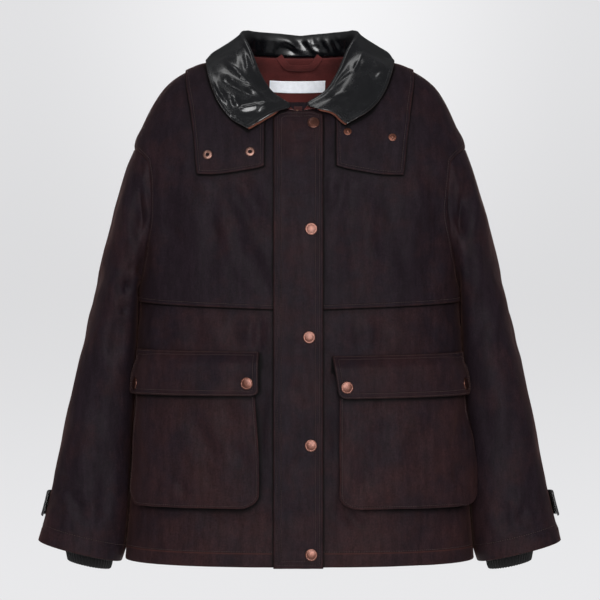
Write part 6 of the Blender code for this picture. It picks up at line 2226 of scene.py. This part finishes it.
# ---------------------------------------------------------------- sewing
def sew(name, lines, pitch=3.4, long_=2.5, radius=0.27, material=None):
    """Rows of single stitches, each a small bead of thread whose ends go into the cloth."""
    centres, ways, ups = [], [], []
    for p, n in lines:
        steps = np.linalg.norm(np.diff(p, axis=0), axis=1)
        s = np.concatenate([[0], np.cumsum(steps)])
        count = int(s[-1] / pitch)
        if count < 3:
            continue
        at = (np.arange(count) + 0.5) * s[-1] / count
        pick = lambda where, data: np.stack([np.interp(where, s, data[:, k]) for k in range(3)], -1)
        centres.append(pick(at, p))
        ways.append(pick(at + 0.6, p) - pick(at - 0.6, p))
        ups.append(pick(at, n))
    c, w, up = np.concatenate(centres), np.concatenate(ways), np.concatenate(ups)
    w /= np.maximum(np.linalg.norm(w, axis=1, keepdims=True), 1e-9)
    across = np.cross(w, up)
    across /= np.maximum(np.linalg.norm(across, axis=1, keepdims=True), 1e-9)
    up = np.cross(across, w)
    rng = np.random.default_rng(5)
    w = w + across * rng.normal(0, 0.05, (len(w), 1))
    turn = np.linspace(0, 2 * np.pi, 5, endpoint=False)
    rows = [c - w * long_ * 0.5 - up * radius * 0.7]
    for place in (-0.28, 0.28):
        for t in turn:
            rows.append(c + w * long_ * place + radius * (across * np.cos(t) * 1.1 + up * (np.sin(t) * 0.9 + 0.25)))
    rows.append(c + w * long_ * 0.5 - up * radius * 0.7)
    points = np.stack(rows, 1)
    tris = [(0, 1 + (k + 1) % 5, 1 + k) for k in range(5)] + [(11, 6 + k, 6 + (k + 1) % 5) for k in range(5)]
    quads = [(1 + k, 1 + (k + 1) % 5, 6 + (k + 1) % 5, 6 + k) for k in range(5)]
    base = 12 * np.arange(len(c))[:, None, None]
    one = points[0]
    n = np.cross(one[quads[0][1]] - one[quads[0][0]], one[quads[0][2]] - one[quads[0][1]])
    if n @ (one[quads[0][0]] - one.mean(0)) < 0:
        tris, quads = [t[::-1] for t in tris], [q[::-1] for q in quads]
    return new_mesh(name, points.reshape(-1, 3), [(np.array(quads)[None] + base).reshape(-1, 4), (np.array(tris)[None] + base).reshape(-1, 3)], [material or M_THREAD])


sewing = {"body": [], "sleeves": [], "trim": [], "leather": [], "rust": []}
for name in ("right", "left"):
    stitch_lines("cloth_front_upper_" + name, [5.2], lambda p: p[:, 2] < -100, into=sewing["body"])
    stitch_lines("cloth_front_lower_" + name, [20.5], into=sewing["body"])
    stitch_lines("cloth_sleeve_" + name, [24.0], into=sewing["sleeves"])
    stitch_lines("cloth_pocket_" + name, [3.4], lambda p: p[:, 2] < POCKET_TOP - 2, into=sewing["trim"])
    stitch_lines("cloth_flap_" + name, [1.8, 7.0], into=sewing["trim"])
    stitch_lines("tab_" + name, [3.0], into=sewing["leather"])
stitch_lines("cloth_back", [20.5], lambda p: p[:, 2] < -600, into=sewing["body"])
stitch_lines("cloth_placket", [4.6, 10.0], into=sewing["trim"])
stitch_lines("cloth_cape", [4.6], into=sewing["trim"])
stitch_lines("leather_collar", [4.0], into=sewing["leather"])
stitch_lines("label_ribbon", [1.3], into=sewing["rust"])
M_PALE = thread("pale_thread", (0.55, 0.57, 0.60))
M_BLACK = thread("black_thread", (0.010, 0.010, 0.011))
sewn = {
    "stitches_body": sew("stitches_body", sewing["body"]),
    "stitches_sleeves": sew("stitches_sleeves", sewing["sleeves"]),
    "stitches_trim": sew("stitches_trim", sewing["trim"]),
    "stitches_leather": sew("stitches_leather", sewing["leather"], 4.2, 3.2, 0.24, M_BLACK),
    "stitches_label": sew("stitches_label", sewing["rust"], 2.0, 1.4, 0.16, M_PALE),
}


# ---------------------------------------------------------------- what each piece stands for
NODES = {
    "cloth_back": "back", "cloth_back_lining": "back_lining", "cloth_cape": "cape", "cloth_chin_guard": "chin_guard",
    "leather_collar": "collar", "cloth_undercollar": "undercollar", "loop_tape": "hanger_loop", "label_ribbon": "label",
    "cloth_placket": "placket", "zip_tape": "zip",
}
for name in ("right", "left"):
    for piece, cad in (("cloth_front_upper_", "front_upper_"), ("cloth_front_lower_", "front_lower_"), ("cloth_sleeve_", "sleeve_"), ("knit_band_", "knit_cuff_"), ("tab_", "cuff_strap_"), ("cloth_pocket_", "pocket_"), ("cloth_flap_", "flap_")):
        NODES[piece + name] = cad + name
LEATHER_SLOT, RUST_SLOT = ("leather_collar", "tab_right", "tab_left"), ("cloth_undercollar", "cloth_back_lining", "cloth_chin_guard")


def slot_of(name):
    if name in LEATHER_SLOT:
        return "collar_leather"
    if name in RUST_SLOT:
        return "rust_lining"
    for start, slot in (("knit_", "rib_knit"), ("label_", "label_cloth"), ("zip_", "zip")):
        if name.startswith(start):
            return slot
    return "waxed_cotton"


for name, cad in NODES.items():
    obj = SHELLS[name]["obj"]
    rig.ride(obj, "root")
    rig.replaces(obj, cad)
    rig.slot(obj, slot_of(name))
for cad, obj in fasteners.items():
    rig.ride(obj, "root")
    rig.replaces(obj, cad)
    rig.slot(obj, "copper_snap")
for name, obj in sewn.items():
    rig.ride(obj, "root")
    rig.slot(obj, "collar_leather" if "leather" in name else "label_cloth" if "label" in name else "waxed_cotton")
for obj in pipes:
    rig.ride(obj, "root")
    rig.slot(obj, "rust_lining")
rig.ride(bpy.data.objects["zip_teeth"], "root")
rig.slot(bpy.data.objects["zip_teeth"], "zip")



# ---------------------------------------------------------------- painted shadow where cloth lies beside the edge of what covers it
def border_ways(name, spread=False):
    """A piece's border points and the way out from each; spread takes it from the piece's middle."""
    piece = SHELLS[name]
    at, n = piece["points"], piece["normals"]
    edges = border_edges(piece["quads"], len(at))
    a, b = edges[:, 0], edges[:, 1]
    side = np.cross(at[b] - at[a], n[a] + n[b])
    side /= np.maximum(np.linalg.norm(side, axis=1, keepdims=True), 1e-9)
    ways = np.zeros_like(at)
    for k in range(3):
        ways[:, k] = np.bincount(a, side[:, k], len(at)) + np.bincount(b, side[:, k], len(at))
    rim = np.unique(edges)
    way = at[rim] - at.mean(0) if spread else ways[rim]
    return at[rim], way / np.maximum(np.linalg.norm(way, axis=1, keepdims=True), 1e-9)


def paint_shadow_under(name, above, reach=12.0, far=22.0):
    """Stores a painted shadow on a cloth: how near each point is to the edges that lie over it, 1 at the edge, 0 at
    reach from it.
    """
    piece = SHELLS[name]
    at = piece["points"]
    near = np.zeros(len(at))
    for other in above:
        rim, ways = border_ways(other, "pocket" in other)
        low, high = rim.min(0) - far, rim.max(0) + far
        chosen = np.flatnonzero(((at > low) & (at < high)).all(1))
        tree = KDTree(len(rim))
        for k, point in enumerate(rim):
            tree.insert(point, k)
        tree.balance()
        for k in chosen:
            _, index, distance = tree.find(at[k])
            if distance < far:
                gap, way, wide = float(np.dot(at[k] - rim[index], ways[index])), ways[index], reach
                # Beside pockets and flaps the painted shadow reaches further to the right and below, the side away from
                # the light.
                if "pocket" in other or "flap" in other:
                    wide = 5.0 + 17.0 * float(ease((0.7 * way[0] - 0.7 * way[2] + 0.15) / 0.7))
                close = min(max((wide - gap) / wide, 0.0), 1.4)
                near[k] = max(near[k], close ** 0.55 if "pocket" in other else close)
    data = piece["obj"].data
    values = np.zeros(len(data.vertices), np.float32)
    values[: len(near)] = near
    data.attributes.new("cover", "FLOAT", "POINT").data.foreach_set("value", values)


for name in ("right", "left"):
    paint_shadow_under("cloth_front_upper_" + name, ["cloth_placket", "cloth_cape"])
    paint_shadow_under("cloth_front_lower_" + name, ["cloth_placket", "cloth_front_upper_" + name, "cloth_pocket_" + name, "cloth_flap_" + name])
    paint_shadow_under("cloth_pocket_" + name, ["cloth_flap_" + name])
paint_shadow_under("cloth_cape", ["leather_collar"])
paint_shadow_under("cloth_placket", ["leather_collar"])
paint_shadow_under("cloth_back", ["cloth_cape"])

# The collar's roll is duller than its faces.
data = SHELLS["leather_collar"]["obj"].data
at = np.zeros(3 * len(data.vertices), np.float32)
data.vertices.foreach_get("co", at)
at = at.reshape(-1, 3).astype(float)
at = at * (1000.0 if np.abs(at).max() < 5 else 1.0)
inside = ((132 - np.abs(at[:, 0])) * 45 + (5 - at[:, 2]) * 58) / 73.4
roll = np.maximum(ease((17 - inside) / 10) * ease((np.abs(at[:, 0]) - 62) / 12), ease((at[:, 2] - 40) / 6)) * ease((at[:, 1] + 95) / 30)
data.attributes.new("dull", "FLOAT", "POINT").data.foreach_set("value", roll.astype(np.float32))


# ---------------------------------------------------------------- the cut of every sheet, in metres
CUTS = [
    ("cloth_back", (0.70, 0.80), 0.385, "hung", []),
    ("cloth_front_upper_right", (0.335, 0.425), 0.081, "hung", ["cloth_back"]),
    ("cloth_front_upper_left", (0.34, 0.425), 0.082, "hung", ["cloth_back"]),
    ("cloth_front_lower_right", (0.305, 0.37), 0.107, "hung", ["cloth_front_upper_right"]),
    ("cloth_front_lower_left", (0.31, 0.37), 0.108, "hung", ["cloth_front_upper_left"]),
    ("cloth_placket", (0.068, 0.63), 0.042, "hung", ["cloth_front_upper_left", "cloth_front_lower_left"]),
    ("zip_tape", (0.011, 0.635), None, "stretched", ["cloth_front_upper_left", "cloth_front_upper_right"]),
    ("cloth_chin_guard", (0.037, 0.067), None, "laid", ["cloth_front_upper_left"]),
    ("cloth_cape", (0.14, 0.94), 0.082, "laid", ["cloth_back", "cloth_front_upper_right", "cloth_front_upper_left"]),
    ("cloth_sleeve_right", (0.575, 0.58), 0.198, "hung", ["cloth_back", "cloth_front_upper_right"]),
    ("cloth_sleeve_left", (0.575, 0.58), 0.198, "hung", ["cloth_back", "cloth_front_upper_left"]),
    ("knit_band_right", (0.24, 0.062), None, "stretched", ["cloth_sleeve_right"]),
    ("knit_band_left", (0.24, 0.062), None, "stretched", ["cloth_sleeve_left"]),
    ("tab_right", (0.035, 0.073), None, "laid", ["cloth_sleeve_right"]),
    ("tab_left", (0.035, 0.073), None, "laid", ["cloth_sleeve_left"]),
    ("leather_collar", (0.12, 0.75), 0.063, "folded", ["cloth_undercollar", "cloth_back"]),
    ("cloth_undercollar", (0.063, 0.74), 0.037, "folded", ["cloth_cape"]),
    ("cloth_back_lining", (0.51, 0.118), 0.043, "laid", ["cloth_back"]),
    ("label_ribbon", (0.081, 0.018), None, "laid", ["cloth_back_lining"]),
    ("loop_tape", (0.0101, 0.087), None, "hung", ["cloth_back_lining"]),
    ("cloth_pocket_right", (0.231, 0.201), None, "hung", ["cloth_front_lower_right"]),
    ("cloth_pocket_left", (0.237, 0.204), None, "hung", ["cloth_front_lower_left"]),
    ("cloth_flap_right", (0.206, 0.070), None, "draped", ["cloth_front_lower_right", "cloth_pocket_right"]),
    ("cloth_flap_left", (0.215, 0.068), None, "draped", ["cloth_front_lower_left", "cloth_pocket_left"]),
]
ON_IT = {
    "cloth_placket": [fasteners[f"snap_placket_{k}"] for k in range(1, 6)],
    "cloth_cape": [fasteners[name] for name in ("socket_1", "socket_2", "stud_1", "stud_2")],
    "cloth_flap_right": [fasteners["snap_flap_right_in"], fasteners["snap_flap_right_side"]],
    "cloth_flap_left": [fasteners["snap_flap_left_in"], fasteners["snap_flap_left_side"]],
    "tab_right": [fasteners["snap_strap_right"]],
    "tab_left": [fasteners["snap_strap_left"]],
    "zip_tape": [bpy.data.objects["zip_teeth"]],
    "leather_collar": pipes + [sewn["stitches_leather"]],
    "label_ribbon": [sewn["stitches_label"]],
}
for name, flat, area, held, rests_on in CUTS:
    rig.sheet(SHELLS[name]["obj"], flat=flat, held=held, rests_on=rests_on, area=area, with_pieces=ON_IT.get(name, []))


# ---------------------------------------------------------------- camera, backdrop and lights
scene = bpy.context.scene
scene.view_settings.view_transform = "Standard"
scene.view_settings.look = "None"
eye = bpy.data.cameras.new("eye")
eye.lens, eye.sensor_width = 154.3, 36.0
eye.clip_start, eye.clip_end = 0.05, 60.0
camera = bpy.data.objects.new("eye", eye)
camera.location = (0.0007, -3.6, -0.3276)
camera.rotation_euler = (math.radians(90), 0, 0)
scene.collection.objects.link(camera)
scene.camera = camera

world = bpy.data.worlds.new("studio")
world.use_nodes = True
scene.world = world
tree = world.node_tree
background = tree.nodes["Background"]
way = node(tree, "ShaderNodeTexCoord").outputs["Generated"]
parts = node(tree, "ShaderNodeSeparateXYZ", {"Vector": way})
side_x = maths(tree, "ABSOLUTE", maths(tree, "SUBTRACT", parts.outputs["X"], 0.004))
up = parts.outputs["Z"]
low = ranged(tree, up, 0.01, -0.115)
high = ranged(tree, up, 0.0, 0.125)
glow = maths(tree, "MULTIPLY", ranged(tree, side_x, 0.115, 0.0), ranged(tree, up, -0.04, 0.115))
shade = maths(tree, "MULTIPLY_ADD", low, 0.10, 0.712)
shade = maths(tree, "MULTIPLY_ADD", high, 0.045, shade)
shade = maths(tree, "MULTIPLY_ADD", glow, 0.165, shade)
cold = maths(tree, "MULTIPLY", shade, 1.018)
seen = node(tree, "ShaderNodeCombineColor", {"Red": shade, "Green": shade, "Blue": cold}).outputs[0]
path = node(tree, "ShaderNodeLightPath").outputs["Is Camera Ray"]
around = mixed(tree, ranged(tree, parts.outputs["Y"], 0.5, -0.6), (0.13, 0.13, 0.135), (0.18, 0.18, 0.186))
tree.links.new(mixed(tree, path, around, seen), background.inputs["Color"])


def softbox(name, place, target, size, power, colour=(1, 1, 1)):
    light = bpy.data.lights.new(name, "AREA")
    light.shape = "RECTANGLE"
    light.size, light.size_y = size
    light.energy = power
    light.color = colour
    made = bpy.data.objects.new(name, light)
    made.location = place
    made.rotation_euler = (Vector(target) - Vector(place)).to_track_quat("-Z", "Y").to_euler()
    made.visible_camera = False
    scene.collection.objects.link(made)
    return made


softbox("front", (0.25, -4.4, 1.0), (0.0, 0.0, -0.25), (3.2, 1.8), 146)
softbox("level", (0.3, -4.6, -0.35), (0.0, 0.0, -0.2), (1.8, 1.0), 62)
softbox("high", (-0.15, -1.8, 2.45), (0.0, 0.0, -0.1), (1.3, 0.9), 11).visible_glossy = False
softbox("spark", (-1.5, -1.7, 2.2), (0.0, 0.0, -0.1), (0.5, 0.4), 6)
softbox("over", (-0.25, 0.15, 2.1), (0.0, 0.0, 0.0), (1.5, 0.35), 4)
# These light the back and the sides evenly, with no glints on the edges seen from the front.
for name, place, power in (("back_left", (-1.3, 3.6, 0.9), 165), ("back_right", (1.3, 3.6, 0.9), 150), ("side_left", (-3.6, 0.9, 0.7), 58), ("side_right", (3.6, 0.9, 0.7), 52)):
    softbox(name, place, (0.0, 0.0, -0.3), (1.8, 1.8), power, (0.97, 1.0, 0.975)).visible_glossy = False

floor_mesh = bmesh.new()
rings, around = 10, 72
radii = [0.02 + 2.8 * (k / rings) ** 1.3 for k in range(rings + 1)]
rows = [[floor_mesh.verts.new((r * math.cos(2 * math.pi * k / around), r * math.sin(2 * math.pi * k / around), -1.385)) for k in range(around)] for r in radii]
for a, b in zip(rows[:-1], rows[1:]):
    for k in range(around):
        floor_mesh.faces.new((a[k], b[k], b[(k + 1) % around], a[(k + 1) % around]))
floor_mesh.faces.new(rows[0])
floor_data = bpy.data.meshes.new("studio_floor")
floor_mesh.to_mesh(floor_data)
floor_mesh.free()
floor = bpy.data.objects.new("studio_floor", floor_data)
scene.collection.objects.link(floor)
paper, tree, surface = shader("paper")
spread = noisy(tree, tree.nodes.new("ShaderNodeTexCoord").outputs["Object"], 0.8, 2.0)
tree.links.new(mixed(tree, spread, (0.50, 0.50, 0.51), (0.53, 0.53, 0.54)), surface.inputs["Base Color"])
surface.inputs["Roughness"].default_value = 1.0
surface.inputs["Specular IOR Level"].default_value = 0.0
floor_data.materials.append(paper)
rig.stage(floor)

with open("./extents.json", "w") as file:
    json.dump({"cad": CAD_BOX, "visual": [[float(c) for c in corner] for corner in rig.bounds()]}, file)
